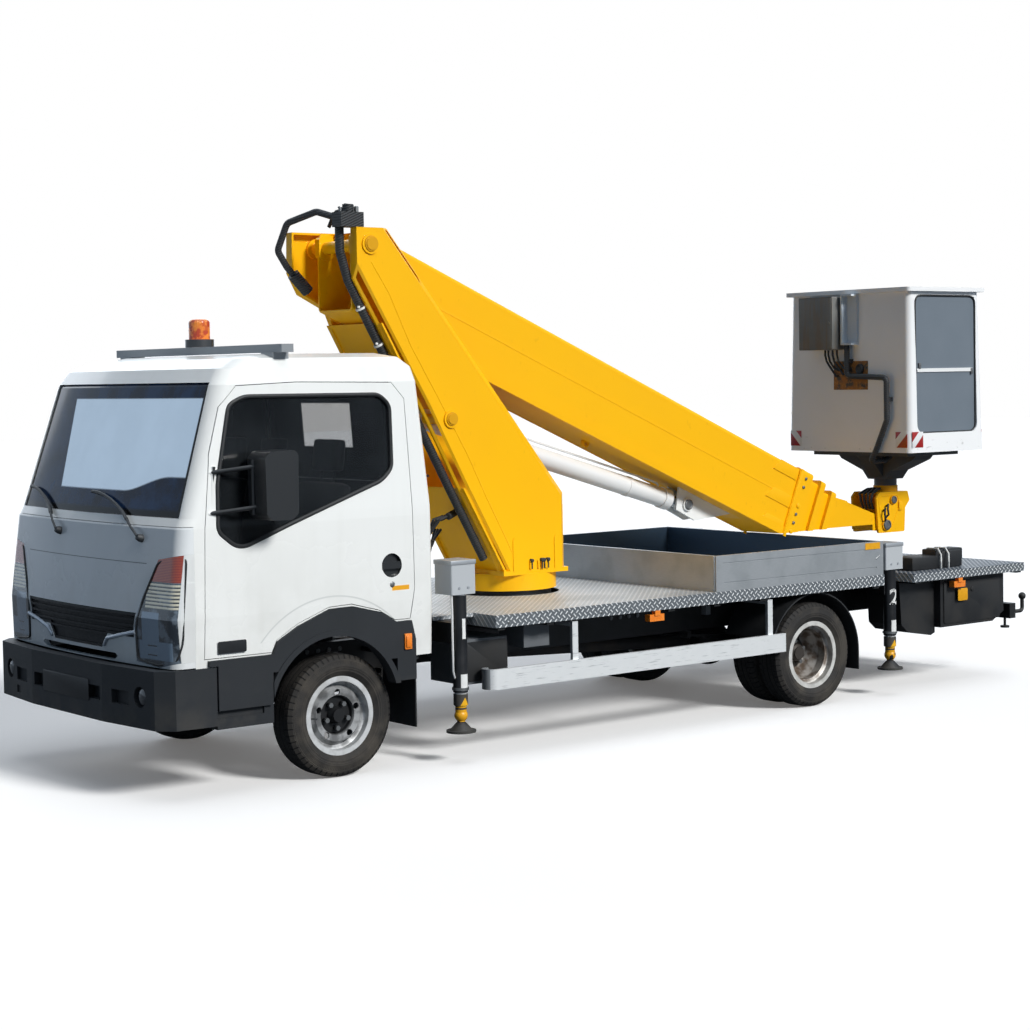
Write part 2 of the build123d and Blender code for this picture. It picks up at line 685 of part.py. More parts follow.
def dashboard():
    """Dashboard across the cab, with the steering column and the wheel on it."""
    floor = FOOT_FLOOR_Z + RUNNING_GAP
    points = [(876, floor), (876, 1200), (870, 1262), (700, 1275), (610, 1230), (600, 1130), (680, 1050),
              (700, floor)]
    board = side_prism(points, -800, 800, 12)
    board += side_prism([(860, 1270), (640, 1262), (665, 1320), (780, 1330)], 210, 580, 14)
    column_a, column_b = Vector(760, 400, 980), Vector(470, 400, 1200)
    board += bar(tuple(column_a), tuple(column_b), 30)
    axis = (column_b - column_a).normalized()
    wheel_plane = Plane(column_b, z_dir=axis)
    rim = wheel_plane * Torus(205, 15)
    spokes = [wheel_plane * Box(400, 40, 14), wheel_plane * Box(40, 400, 14)]
    boss = wheel_plane * Cylinder(62, 36)
    return joined([board, boss, rim] + spokes)


def seat(y, width):
    floor = SEAT_DECK_Z + RUNNING_GAP
    base = side_prism([(380, floor), (390, floor + 130), (330, floor + 165), (-120, floor + 130),
                       (-120, floor)], y - width / 2, y + width / 2, 20)
    back = side_prism([(-90, floor + 110), (-180, floor + 640), (-290, floor + 650), (-255, floor + 300),
                       (-215, floor + 20), (-100, floor + 20)], y - width / 2, y + width / 2, 24)
    head = side_prism([(-180, floor + 700), (-205, floor + 880), (-285, floor + 880), (-275, floor + 700)],
                      y - width * 0.28, y + width * 0.28, 18)
    stems = [bar((-235, y + s, floor + 600), (-238, y + s, floor + 720), 7) for s in (-60, 60)]
    return joined([base, back, head] + stems)


def roof_beacon():
    """Cross bar on two feet, with the flashing beacon on its middle."""
    x, top = 290, 2240
    beam = block(x - 35, x + 35, -885, 885, top - 42, top)
    feet = []
    for y in (-760, 760):
        foot = block(x - 45, x + 45, y - 60, y + 60, 2100, top - 41) - cab_outer
        feet.append(max(foot.solids(), key=lambda s: s.volume))
    base = bar((x, 0, top - 1), (x, 0, top + 42), 78)
    lens = bar((x, 0, top + 41), (x, 0, top + 150), 58)
    lens = lens.fillet(22, lens.edges().group_by(Axis.Z)[-1])
    return joined([beam, base, lens] + feet)


write("front_bumper", front_bumper())
write("arch_mouldings", arch_moulding(1), arch_moulding(-1))
write("dashboard", dashboard())
write("seats", seat(430, 480), seat(-130, 420), seat(-560, 400))
write("roof_beacon", roof_beacon())


# ---------------------------------------------------------------- subframe, deck and tray
BEARERS = (-960, -1300, -2200, TRAY_FRONT - 20, TRAY_FRONT - 400, DECK_REAR + 60)
REAR_BEARERS = (REAR_DECK_FRONT - 55, REAR_DECK_REAR + 565, REAR_DECK_REAR + 40)


def subframe():
    """Two rails on the chassis, deck bearers, the outrigger cross beams and the slewing pedestal."""
    parts = []
    for sign in (1, -1):
        parts.append(block(SUBFRAME_FRONT, REAR_DECK_REAR + 40, sign * 335, sign * SUBFRAME_Y,
                           RAIL_TOP + RUNNING_GAP, SUBFRAME_TOP))
    under = DECK_TOP - PLATE - RUNNING_GAP
    for x in BEARERS:
        parts.append(block(x - 25, x + 25, -985, 985, SUBFRAME_TOP - 10, under))
    under = REAR_DECK_TOP - PLATE - RUNNING_GAP
    for x in REAR_BEARERS:
        parts.append(block(x - 25, x + 25, -985, 985, SUBFRAME_TOP - 10, under))
    for x in (LEG_FRONT_X, LEG_REAR_X):
        reach = LEG_Y - SLEEVE_RADIUS - RUNNING_GAP
        parts.append(block(x - 50, x + 50, -reach, reach, SUBFRAME_TOP - 58, 752))
    parts.append(block(SLEW_X - 270, SLEW_X + 270, -336, 336, SUBFRAME_TOP - 59, 720))
    parts.append(bar((SLEW_X, 0, 700), (SLEW_X, 0, COLLAR_BOTTOM - RUNNING_GAP), COLLAR_RADIUS - 30))
    return joined(parts)


def lipped_plate(x_rear, x_front, half_width, top, lip):
    """Chequer plate with its edges folded down."""
    plate = block(x_rear, x_front, -half_width, half_width, top - lip, top)
    inside = block(x_rear + PLATE, x_front - PLATE, -half_width + PLATE, half_width - PLATE,
                   top - lip - 1, top - PLATE)
    return plate - inside


def deck_plates():
    deck = lipped_plate(DECK_REAR, DECK_FRONT, DECK_HALF_WIDTH, DECK_TOP, DECK_LIP)
    narrow = lipped_plate(DECK_FRONT - 2, NARROW_FRONT, NARROW_HALF_WIDTH, DECK_TOP, 20)
    deck += narrow
    deck -= bar((SLEW_X, 0, DECK_TOP - 90), (SLEW_X, 0, DECK_TOP + 10), COLLAR_RADIUS + 16)
    deck -= block(NARROW_FRONT - 130, NARROW_FRONT + 10, -300, 300, DECK_TOP - 90, DECK_TOP + 10)
    rear = lipped_plate(REAR_DECK_REAR, REAR_DECK_FRONT, DECK_HALF_WIDTH, REAR_DECK_TOP, REAR_DECK_LIP)
    middle = block(REAR_DECK_FRONT - 2, DECK_REAR - 4, -NARROW_HALF_WIDTH, NARROW_HALF_WIDTH,
                   REAR_DECK_TOP - PLATE, REAR_DECK_TOP)
    solids = [deck, rear + middle]
    return solids


def tray_boards():
    half, t = DECK_HALF_WIDTH, BOARD_THICKNESS
    low = DECK_TOP + RUNNING_GAP
    ring = block(TRAY_REAR, TRAY_FRONT, -half, half, low, BOARD_TOP)
    ring -= block(TRAY_REAR + t, TRAY_FRONT - t, -half + t, half - t, low - 1, BOARD_TOP + 1)
    for sign in (1, -1):
        for z in (low + 50, BOARD_TOP - 45):
            groove_y = sign * (half - 4)
            ring -= block(TRAY_REAR + 60, TRAY_FRONT - 60, groove_y, sign * (half + 1), z - 3, z + 3)
    return ring


deck_solids = deck_plates()
frame_solid = subframe()
write("subframe", frame_solid)
write("deck_plates", *deck_solids)
write("tray_boards", tray_boards())


# ---------------------------------------------------------------- lockers, guards, mudguards, lamps
def side_boxes():
    """Battery and valve box on the left, fuel tank on the right, each hung on its straps."""
    left = block(-1090, -790, 560, 860, 395, 640)
    left_bracket = block(-1000, -880, RAIL_Y + RUNNING_GAP, 561, 500, 600)
    right = block(-2300, -1560, -880, -520, 350, 660)
    right = right.fillet(50, right.edges().filter_by(Axis.X))
    right_bracket = joined(
        block(x - 30, x + 30, -521, -RAIL_Y - RUNNING_GAP, 500, 600) for x in (-2150, -1710)
    )
    strap = joined(block(x - 25, x + 25, -884, -516, 346, 664) for x in (-2150, -1710))
    oil = block(-1390, -1210, 640, 860, 560, SUBFRAME_TOP - 10 - RUNNING_GAP)
    return [left + left_bracket, right + right_bracket + strap, oil]


def rear_lockers(sign):
    """Black locker under the rear deck, its back lower edge cut away."""
    top = REAR_DECK_TOP - REAR_DECK_LIP - 12
    ahead, split, back = REAR_DECK_FRONT + 5, REAR_DECK_FRONT - 335, REAR_DECK_REAR + 130
    points = [(split, top), (split, 380), (back + 115, 380), (back, 440), (back, top)]
    box = side_prism(points, sign * 560, sign * 930)
    front = side_prism([(ahead, top), (ahead - 20, 420), (ahead - 80, 370), (split + 40, 330),
                        (split - 1, 345), (split - 1, top)], sign * 600, sign * 880)
    bracket = block(split - 300, split - 100, sign * (RAIL_Y + RUNNING_GAP), sign * 561, 520, 620)
    return box + front + bracket


def side_guard(sign):
    """Guard rail with its rounded front end, on two posts from the deck's bearers."""
    outer, t, low, high = 1000, 22, 372, 482
    rail_bar = block(REAR_AXLE_X + 290, -930, sign * (outer - t), sign * outer, low, high)
    radius = 60
    end_y = sign * (outer - radius)
    end = bar((-930, end_y, low), (-930, end_y, high), radius)
    end -= bar((-930, end_y, low - 1), (-930, end_y, high + 1), radius - t)
    end &= block(-930, -800, sign * (outer - 2 * radius), sign * outer, low, high)
    parts = [rail_bar, end]
    for x in (-1480, REAR_AXLE_X + 400):
        parts.append(block(x - 20, x + 20, sign * (outer - t - 18), sign * (outer - t + 2), low + 10,
                           DECK_TOP - DECK_LIP - 12))
        foot_z, root = DECK_TOP - DECK_LIP - 24, sign * (RAIL_Y + RUNNING_GAP)
        parts.append(block(x - 20, x + 20, root, sign * (outer - t), foot_z - 16, foot_z))
        parts.append(block(x - 20, x + 20, root, sign * (RAIL_Y + 40), 560, foot_z))
    return joined(parts)


def mudguard(sign):
    """Rear mudguard over the twin tyres with its flap, and the arms that carry it."""
    x, z, radius, t = REAR_AXLE_X, AXLE_Z, 385, 8
    y0, y1 = sign * 552, sign * 968
    arc = cross_bar(x, z, radius, y0, y1) - cross_bar(x, z, radius - t, y0, y1)
    sector = [(x, z), (x + 420, z + 150), (x + 420, z + 420), (x - 420, z + 420), (x - 420, z - 20)]
    arc &= side_prism(sector, y0, y1)
    flap = block(x - radius, x - radius + t, y0, y1, 195, z)
    top = z + radius
    arm = block(x - 25, x + 25, sign * (SUBFRAME_Y + RUNNING_GAP), sign * 600, top - 60, top - 20)
    arm += block(x - 25, x + 25, sign * 553, sign * 600, top - 60, top - 2)
    return joined((arc, flap, arm))


def front_flap(sign):
    """Mudflap behind the front wheel and its hanger on the chassis rail."""
    flap = block(-452, -444, sign * 600, sign * 900, 215, 590)
    flap += block(-470, -443, sign * (RAIL_Y + RUNNING_GAP), sign * 900, 575, 600)
    return flap


def lamps():
    """Side marker lamps under the deck lip and on the cab, and the tail lamp clusters."""
    solids = []
    for sign in (1, -1):
        for x in (-2080, REAR_DECK_FRONT - 455):
            lip_z = (DECK_TOP - DECK_LIP if x > DECK_REAR else REAR_DECK_TOP - REAR_DECK_LIP) - RUNNING_GAP
            lamp = block(x - 55, x + 55, sign * 950, sign * 992, lip_z - 62, lip_z - 22)
            lamp += block(x - 20, x + 20, sign * 970, sign * 999, lip_z - 30, lip_z)
            solids.append(lamp)
        bar_rear = RAIL_REAR - 70 - RUNNING_GAP
        tail = block(bar_rear - 55, bar_rear, sign * 560, sign * 720, BUMPER_BAR_Z - 45, BUMPER_BAR_Z + 45)
        solids.append(tail)
    return solids


write("side_boxes", *side_boxes())
write("rear_lockers", rear_lockers(1), rear_lockers(-1))
write("side_guards", side_guard(1), side_guard(-1))
write("mudguards", mudguard(1), mudguard(-1), front_flap(1), front_flap(-1))
write("lamps", *lamps())


# ---------------------------------------------------------------- outriggers
BOX_TOPS = {LEG_FRONT_X: (905, 1085), LEG_REAR_X: (800, 965)}


def sleeve(x, sign):
    """Outrigger sleeve with its cover box on top and the bracket to the cross beam."""
    low_box, high_box = BOX_TOPS[x]
    y = sign * LEG_Y
    tube = bar((x, y, SLEEVE_BOTTOM), (x, y, low_box + 5), SLEEVE_RADIUS)
    bracket_top = 752
    tube += block(x - 50, x + 50, sign * (LEG_Y - SLEEVE_RADIUS), y, SUBFRAME_TOP - 58, bracket_top)
    cover = block(x - 80, x + 80, sign * (LEG_Y - 110), sign * (LEG_Y + 45), low_box, high_box)
    tube += cover.fillet(8, cover.edges().filter_by(Axis.Z))
    return tube - bar((x, y, SLEEVE_BOTTOM - 1), (x, y, low_box + 20), SLEEVE_BORE)


def leg(x, sign):
    """Outrigger leg: the ram in its sleeve, the ball and the foot plate."""
    y = sign * LEG_Y
    low_box, high_box = BOX_TOPS[x]
    ram = bar((x, y, FOOT_Z + 95), (x, y, low_box), LEG_RADIUS)
    ram += bar((x, y, SLEEVE_BOTTOM - 70), (x, y, SLEEVE_BOTTOM - 8), LEG_RADIUS + 8)
    ball = Pos(x, y, FOOT_Z + 90) * Sphere(36)
    neck = bar((x, y, FOOT_Z), (x, y, FOOT_Z + 90), 22)
    cone = Pos(x, y, FOOT_Z + 30) * Cone(FOOT_RADIUS - 14, 26, 44)
    plate = bar((x, y, FOOT_Z), (x, y, FOOT_Z + 12), FOOT_RADIUS)
    return joined((ram, ball, neck, cone, plate))


LEGS = (
    ("front_left", LEG_FRONT_X, 1), ("front_right", LEG_FRONT_X, -1),
    ("rear_left", LEG_REAR_X, 1), ("rear_right", LEG_REAR_X, -1),
)
write("outrigger_sleeves", *[sleeve(x, sign) for name, x, sign in LEGS])
for leg_name, leg_x, leg_sign in LEGS:
    write(f"leg_{leg_name}", leg(leg_x, leg_sign))


# ---------------------------------------------------------------- turret
# outlines of the side plates, (x, z), from the top front corner round by the rear; the right one has a nose
PLATE_REAR = (
    (-770, TURRET_TOP), (-2005, 1360), (-2005, TURRET_BOTTOM), (-1520, TURRET_BOTTOM), (-1215, 1450),
)
TURRET_OUTLINES = {
    1: ((-540, TURRET_TOP),) + PLATE_REAR + ((-980, 1880), (-540, 2610)),
    -1: ((-450, TURRET_TOP),) + PLATE_REAR + ((-980, 1880), (-712, 2325), (-690, 2450), (-510, 2540),
                                             (-445, 2660)),
}


def turret_side(sign):
    """Side plate with its edges folded inwards and its rear edges cut at a slant."""
    outer, inner = TURRET_HALF_WIDTH, TURRET_HALF_WIDTH - TURRET_FLANGE
    outline_points = TURRET_OUTLINES[sign]
    plate = side_prism(outline_points, sign * inner, sign * outer)
    rear_edges = [
        e for e in plate.edges()
        if abs(e.center().Y) > outer - 1 and e.center().X < -1300 and e.center().Z > 1000 and e.length > 400
    ]
    plate = plate.chamfer(45, None, rear_edges)
    y_low, y_high = sorted((sign * (inner - 1), sign * (outer - TURRET_PLATE)))
    pocket = grown_prism(outline_points, -TURRET_PLATE, y_low, y_high, "side")
    deep_pocket = grown_prism(outline_points, -62, y_low, y_high, "side")
    slant_zone = side_prism([(-900, 3000), (-2300, 3000), (-2300, 800), (-1760, 800), (-1760, 1500),
                             (-1000, 2450)], y_low, y_high)
    plate -= (pocket - slant_zone) + deep_pocket
    return max(plate.solids(), key=lambda s: s.volume)


def turret():
    parts = [turret_side(1), turret_side(-1)]
    inner = TURRET_HALF_WIDTH - TURRET_PLATE
    # base plate, lower front web, upper cross web and lower rear web
    half = TURRET_HALF_WIDTH
    parts.append(block(-2005, -1520, -half, half, TURRET_BOTTOM - 25, TURRET_BOTTOM + 2))
    parts.append(side_prism([(-1535, TURRET_BOTTOM), (-1550, TURRET_BOTTOM), (-1262, 1420), (-1247, 1420)],
                            -inner, inner))
    parts.append(side_prism([(-872, 2060), (-887, 2060), (-712, 2365), (-700, 2365)], -inner, inner))
    parts.append(block(-2004, -1990, -inner + 30, inner - 30, TURRET_BOTTOM, 1290))
    parts.append(bar((SLEW_X, 0, COLLAR_BOTTOM), (SLEW_X, 0, TURRET_BOTTOM - 20), COLLAR_RADIUS))
    for x, z, radius in ((PIVOT_X, PIVOT_Z, PIVOT_RADIUS), (CYLINDER_BASE_X, CYLINDER_BASE_Z, 30)):
        parts.append(cross_bar(x, z, radius, -half - 22, half + 22))
        for sign in (1, -1):
            parts.append(cross_bar(x, z, radius + 22, sign * (half - 30), sign * (half + 10)))
    return joined(parts)


# ---------------------------------------------------------------- boom, in its own frame
BOOM_LOW = BOOM_TOP_OFFSET - BOOM_HEIGHT
CRADLE_Z = BOARD_TOP + 12


def along_boom(u, v):
    """World (x, z) of a point u along the boom and v above its pivot line."""
    a = radians(BOOM_ANGLE)
    return PIVOT_X - u * cos(a) - v * sin(a), PIVOT_Z - u * sin(a) + v * cos(a)


def boom_prism(points, y0, y1, radius=0):
    """Extrudes an outline of (along, above) boom points across, from y0 to y1."""
    return side_prism([along_boom(u, v) for u, v in points], y0, y1, radius)


def boom_block(u0, u1, v0, v1, y0, y1):
    return boom_prism([(u0, v0), (u1, v0), (u1, v1), (u0, v1)], y0, y1)


def section_form(u0, u1, inset, corner):
    """Rounded box section of the boom, its outside drawn in by inset."""
    half, top, low = BOOM_WIDTH / 2 - inset, BOOM_TOP_OFFSET - inset, BOOM_LOW + inset
    x, z = along_boom(u0, (top + low) / 2)
    a = radians(BOOM_ANGLE)
    direction = (-cos(a), 0, -sin(a))
    plane = Plane((x, 0, z), x_dir=(0, 1, 0), z_dir=direction)
    return extrude(plane * RectangleRounded(2 * half, top - low, corner), u1 - u0)


def cradle_cut():
    """Room over the tray board: the undersides near the boom's end are cut level."""
    return block(-3700, -6000, -400, 400, CRADLE_Z - 300, CRADLE_Z)


MID_INSET = BOOM_WALL + SECTION_GAP
INNER_INSET = MID_INSET + SECTION_WALL + SECTION_GAP
MID_END = BOOM_END + SECTION_STEP
INNER_END = MID_END + SECTION_STEP
EYE_U, EYE_V = 2977, -433.5


def boom_outer():
    hollow = section_form(BUTT_FRONT - 5, BOOM_END + 5, BOOM_WALL, 18)
    tube = section_form(BUTT_FRONT, BOOM_END - 60, 0, 26)
    collar = section_form(BOOM_END - 130, BOOM_END, -12, 30)
    parts = [tube - hollow, collar - hollow]
    # the butt is cut off upright in front and level on top, inside the turret
    x_cut = PIVOT_X + 50
    for sign in (1, -1):
        flange = boom_block(180, BOOM_END - 130, BOOM_LOW, BOOM_LOW + 55, sign * 168, sign * 177)
        parts.append(flange)
        cheek_points = [(EYE_U - 110, BOOM_LOW + 6), (EYE_U + 390, BOOM_LOW + 6),
                        (EYE_U + 100, BOOM_LOW - 150), (EYE_U - 80, BOOM_LOW - 140)]
        cheek = boom_prism(cheek_points, sign * 43, sign * 57)
        parts.append(cheek)
        x, z = along_boom(EYE_U, EYE_V)
        parts.append(cross_bar(x, z, 42, sign * 43, sign * 70))
    # bosses for the pivot
    for sign in (1, -1):
        parts.append(cross_bar(PIVOT_X, PIVOT_Z, 70, sign * 150, sign * 195))
    lug_x, lug_z = along_boom(2080, BOOM_LOW - 12)
    parts.append(cross_bar(lug_x, lug_z, 26, -12, 12))
    boom = joined(parts)
    boom -= block(x_cut, x_cut + 500, -400, 400, 2000, 3500)
    boom -= block(PIVOT_X - 170, x_cut + 400, -400, 400, TURRET_TOP - 12, 3500)
    boom -= cross_bar(PIVOT_X, PIVOT_Z, PIVOT_RADIUS + 0.05, -300, 300)
    boom -= cross_bar(lug_x, lug_z - 4, 12, -20, 20)
    boom -= cradle_cut()
    return max(boom.solids(), key=lambda s: s.volume)


def telescope_section(inset, start, end, wall):
    """A hollow section with pads at its hidden end and a collar where it shows."""
    tube = section_form(start, end, inset, 20) - section_form(start - 5, end + 5, inset + wall, 14)
    collar = section_form(end - 46, end, inset - 26, 24) - section_form(end - 60, end + 5, inset + wall, 14)
    pads = section_form(start, start + 160, inset - SECTION_GAP + RUNNING_GAP, 20)
    pads -= section_form(start - 5, start + 200, inset + wall, 14)
    return tube + collar + pads


def boom_mid():
    section = telescope_section(MID_INSET, 260, MID_END, SECTION_WALL)
    return section - cradle_cut()


def boom_inner():
    """Innermost section with the head casting that carries the levelled head."""
    start, end = 440, INNER_END
    section = telescope_section(INNER_INSET, start, end, SECTION_WALL)
    head_u = end + 170
    casting_points = [(end - 40, 60), (end - 40, BOOM_LOW + 70), (head_u, -130), (head_u + 40, 20),
                      (head_u, 92)]
    casting = boom_prism(casting_points, -100, 100)
    hinge_u, hinge_v = to_boom(HEAD_PIVOT_X, HEAD_PIVOT_Z)
    inner_y = HEAD_HALF_WIDTH - HEAD_PLATE - MOVING_GAP
    arm_points = [(head_u - 30, 84), (hinge_u, hinge_v + 46), (hinge_u, hinge_v - 46), (head_u - 30, -120)]
    arm = boom_prism(arm_points, -inner_y, inner_y)
    eye = cross_bar(HEAD_PIVOT_X, HEAD_PIVOT_Z, 46, -inner_y, inner_y)
    section = joined((section, casting, arm, eye))
    section -= cross_bar(HEAD_PIVOT_X, HEAD_PIVOT_Z, 22.05, -200, 200)
    low_cut = block(-3700, -4880, -400, 400, CRADLE_Z - 400, CRADLE_Z)
    section -= low_cut
    return max(section.solids(), key=lambda s: s.volume)


def to_boom(x, z):
    """Boom coordinates (along, above) of a world point."""
    a = radians(BOOM_ANGLE)
    dx, dz = x - PIVOT_X, z - PIVOT_Z
    return -dx * cos(a) - dz * sin(a), -dx * sin(a) + dz * cos(a)


def barrel():
    base, eye = Vector(CYLINDER_BASE_X, 0, CYLINDER_BASE_Z), Vector(CYLINDER_EYE_X, 0, CYLINDER_EYE_Z)
    line = (eye - base).normalized()
    length = (eye - base).length
    start, end = base + line * 50, base + line * (length - 130)
    tube = bar(tuple(start), tuple(end), BARREL_RADIUS)
    gland = bar(tuple(end - line * 60), tuple(end), BARREL_RADIUS + 8)
    knob = cross_bar(CYLINDER_BASE_X, CYLINDER_BASE_Z, 58, -45, 45)
    solid = tube + gland + knob
    solid -= bar(tuple(base + line * 110), tuple(end + line * 5), ROD_RADIUS + 0.1)
    return solid - cross_bar(CYLINDER_BASE_X, CYLINDER_BASE_Z, 30.05, -60, 60)


def rod():
    base, eye = Vector(CYLINDER_BASE_X, 0, CYLINDER_BASE_Z), Vector(CYLINDER_EYE_X, 0, CYLINDER_EYE_Z)
    line = (eye - base).normalized()
    solid = bar(tuple(base + line * 140), tuple(eye - line * 20), ROD_RADIUS)
    return solid + cross_bar(CYLINDER_EYE_X, CYLINDER_EYE_Z, 54, -36, 36)


def boom_head():
    """Levelled bracket: two side plates, a back plate and the bearing ring under the basket."""
    y0, y1 = HEAD_HALF_WIDTH - HEAD_PLATE, HEAD_HALF_WIDTH
    points = [(-4915, 935), (-4895, 1180), (-4930, HEAD_TOP), (-5215, HEAD_TOP), (-5235, 1150),
              (-5190, 1100), (-5180, 935)]
    parts = [side_prism(points, sign * y0, sign * y1, 14) for sign in (1, -1)]
    parts.append(block(-5180, -5164, -y1 + 2, y1 - 2, 945, HEAD_TOP - 10))
    parts.append(block(-4960, -5205, -y1 + 2, y1 - 2, HEAD_TOP - 22, HEAD_TOP))
    for sign in (1, -1):
        parts.append(cross_bar(HEAD_PIVOT_X, HEAD_PIVOT_Z, 40, sign * (y1 - 4), sign * (y1 + 12)))
        parts.append(cross_bar(-5060, 1160, 30, sign * (y1 - 4), sign * (y1 + 14)))
    parts.append(cross_bar(HEAD_PIVOT_X, HEAD_PIVOT_Z, 22, -y1 - 8, y1 + 8))
    parts.append(bar((BASKET_X, 0, HEAD_TOP - 4), (BASKET_X, 0, HEAD_TOP + 40), 84))
    return joined(parts)


write("turret", turret())
write("boom_outer", boom_outer())
write("boom_mid", boom_mid())
write("boom_inner", boom_inner())
write("lift_barrel", barrel())
write("lift_rod", rod())
write("boom_head", boom_head())


# ---------------------------------------------------------------- basket
CARRIER_BOTTOM = HEAD_TOP + 40 + RUNNING_GAP
GATE_X0, GATE_X1 = -5425, -4825
GATE_Z0, GATE_Z1 = 1635, 2545
GATE_HINGE_X = GATE_X0 + 12
GATE_THICKNESS = 24
GATE_FACE_Y = BASKET_WIDTH / 2 - 22
PIN_RADIUS = 8
PIN_FIT = 0.08


def basket_carrier():
    """Turntable boss, flared webs and the floor bearer of the basket."""
    top = BASKET_FLOOR_Z - RUNNING_GAP
    boss = bar((BASKET_X, 0, CARRIER_BOTTOM), (BASKET_X, 0, 1330), 78)
    cross = front_prism([(-80, 1300), (80, 1300), (130, 1360), (330, 1440), (360, 1472), (-360, 1472),
                         (-330, 1440), (-130, 1360)], BASKET_X - 90, BASKET_X + 90)
    along = side_prism([(BASKET_X - 78, 1300), (BASKET_X + 78, 1300), (BASKET_X + 200, 1440),
                        (BASKET_X + 230, 1472), (BASKET_X - 230, 1472), (BASKET_X - 200, 1440)], -60, 60)
    plate = block(BASKET_X - 260, BASKET_X + 260, -430, 430, 1470, top)
    return joined((boss, cross, along, plate))


def basket_form(inset, z0, z1):
    """The basket's tapering box, a little wider at its foot, drawn in by inset."""
    faces = []
    for z, flare in ((z0, 0), (z1, -BASKET_FLARE)):
        size_x = BASKET_DEPTH + 2 * (flare - inset)
        size_y = BASKET_WIDTH + 2 * (flare - inset)
        plane = Plane((BASKET_X, 0, z), z_dir=(0, 0, 1))
        faces.append((plane * RectangleRounded(size_x, size_y, max(40 - inset, 12))).face())
    return Solid.make_loft([f.outer_wire() for f in faces], ruled=True)


def gate_prism(amount, y0, y1):
    points = [(GATE_X0, GATE_Z0), (GATE_X1, GATE_Z0), (GATE_X1, GATE_Z1), (GATE_X0, GATE_Z1)]
    face = offset(outline(points, 55), amount, kind=Kind.ARC) if amount else outline(points, 55)
    return extrude(Plane.XZ.offset(-y1) * face, y1 - y0)


def basket_shell():
    body = basket_form(0, BASKET_FLOOR_Z, BASKET_TOP_Z - 2)
    body -= basket_form(BASKET_WALL, BASKET_FLOOR_Z + 40, BASKET_TOP_Z + 10)
    lip = Pos(BASKET_X, 0, BASKET_TOP_Z - 14) * Box(
        BASKET_DEPTH + 2 * RIM_LIP - 30, BASKET_WIDTH + 2 * RIM_LIP - 30, 28)
    lip = lip.fillet(30, lip.edges().filter_by(Axis.Z))
    lip -= basket_form(BASKET_WALL, BASKET_FLOOR_Z + 40, BASKET_TOP_Z + 10)
    shell = body + lip
    shell -= gate_prism(MOVING_GAP, 400, 700)
    # bearings of the gate's two hinge pins
    boss_y = GATE_FACE_Y - GATE_THICKNESS / 2
    shell += block(GATE_HINGE_X - 20, GATE_HINGE_X + 20, boss_y - 18, boss_y + 14, GATE_Z0 - 45, GATE_Z0 - 8)
    for z in (GATE_Z0, GATE_Z1):
        shell -= bar((GATE_HINGE_X, boss_y, z - 35), (GATE_HINGE_X, boss_y, z + 35), PIN_RADIUS + PIN_FIT)
    # relief in which the gate's thick rear edge turns
    shell -= bar((GATE_HINGE_X, boss_y, GATE_Z0), (GATE_HINGE_X, boss_y, GATE_Z1), GATE_THICKNESS * 0.8)
    return shell


def basket_gate():
    """Side gate with its divider bar, hinged on its rear edge and opening inwards."""
    panel = gate_prism(0, GATE_FACE_Y - GATE_THICKNESS, GATE_FACE_Y)
    middle = 2050
    panel += block(GATE_X0 + 25, GATE_X1 - 10, GATE_FACE_Y - 2, GATE_FACE_Y + 8, middle - 12, middle + 12)
    y = GATE_FACE_Y - GATE_THICKNESS / 2
    panel += bar((GATE_HINGE_X, y, GATE_Z0 - 30), (GATE_HINGE_X, y, GATE_Z0 + 60), PIN_RADIUS)
    panel += bar((GATE_HINGE_X, y, GATE_Z1 - 60), (GATE_HINGE_X, y, GATE_Z1 + 20), PIN_RADIUS)
    return panel


def control_box():
    """Control cabinet on the front wall and the open bracket beside it."""
    wall = BASKET_X + BASKET_DEPTH / 2
    box = block(wall - 25, wall + 120, -330, -20, 2200, 2560)
    box = box.fillet(8, box.edges().filter_by(Axis.X))
    bracket = block(wall - 25, wall + 60, 0, 100, 2230, 2575)
    bracket -= block(wall + 6, wall + 70, 14, 101, 2244, 2561)
    tie = block(wall - 25, wall + 6, -40, 20, 2300, 2500)
    cabinet = box + bracket + tie - basket_form(-RUNNING_GAP, BASKET_FLOOR_Z, BASKET_TOP_Z)
    return max(cabinet.solids(), key=lambda s: s.volume)


def hose(points, radius, bend):
    """A round hose along straight runs joined by bends."""
    route = FilletPolyline(*points, radius=bend)
    return sweep(Plane(route @ 0, z_dir=route % 0) * Circle(radius), route)


def elbow_hoses():
    """Hoses from the head of the turret: one down its front, one looped over to the right plate."""
    y, top = 203, TURRET_TOP
    head = block(-590, -440, 200, TURRET_HALF_WIDTH, top + RUNNING_GAP, top + 82)
    head += bar((-515, 245, top + 80), (-515, 245, top + 125), 30)
    down = hose([(-485, y, top + 30), (-485, y, 2760), (-535, y, 2600), (-673, y, 2350), (-953, y, 1865),
                 (-1192, y, 1434), (-1440, y, 998)], 25, 60)
    loop_points = [(-480, 205, top + 50), (-430, 60, top + 95), (-345, -110, top + 40),
                   (-325, -185, top - 110), (-385, -185, 2690), (-450, -185, 2625)]
    loop = hose(loop_points, 19, 50)
    sleeve_tube = bar((-425, -185, 2650), (-520, -185, 2555), 35)
    clip_y = -TURRET_HALF_WIDTH + TURRET_FLANGE + RUNNING_GAP
    clip = block(-500, -460, clip_y, -200, 2585, 2625)
    return joined((head, down, loop, sleeve_tube, clip))


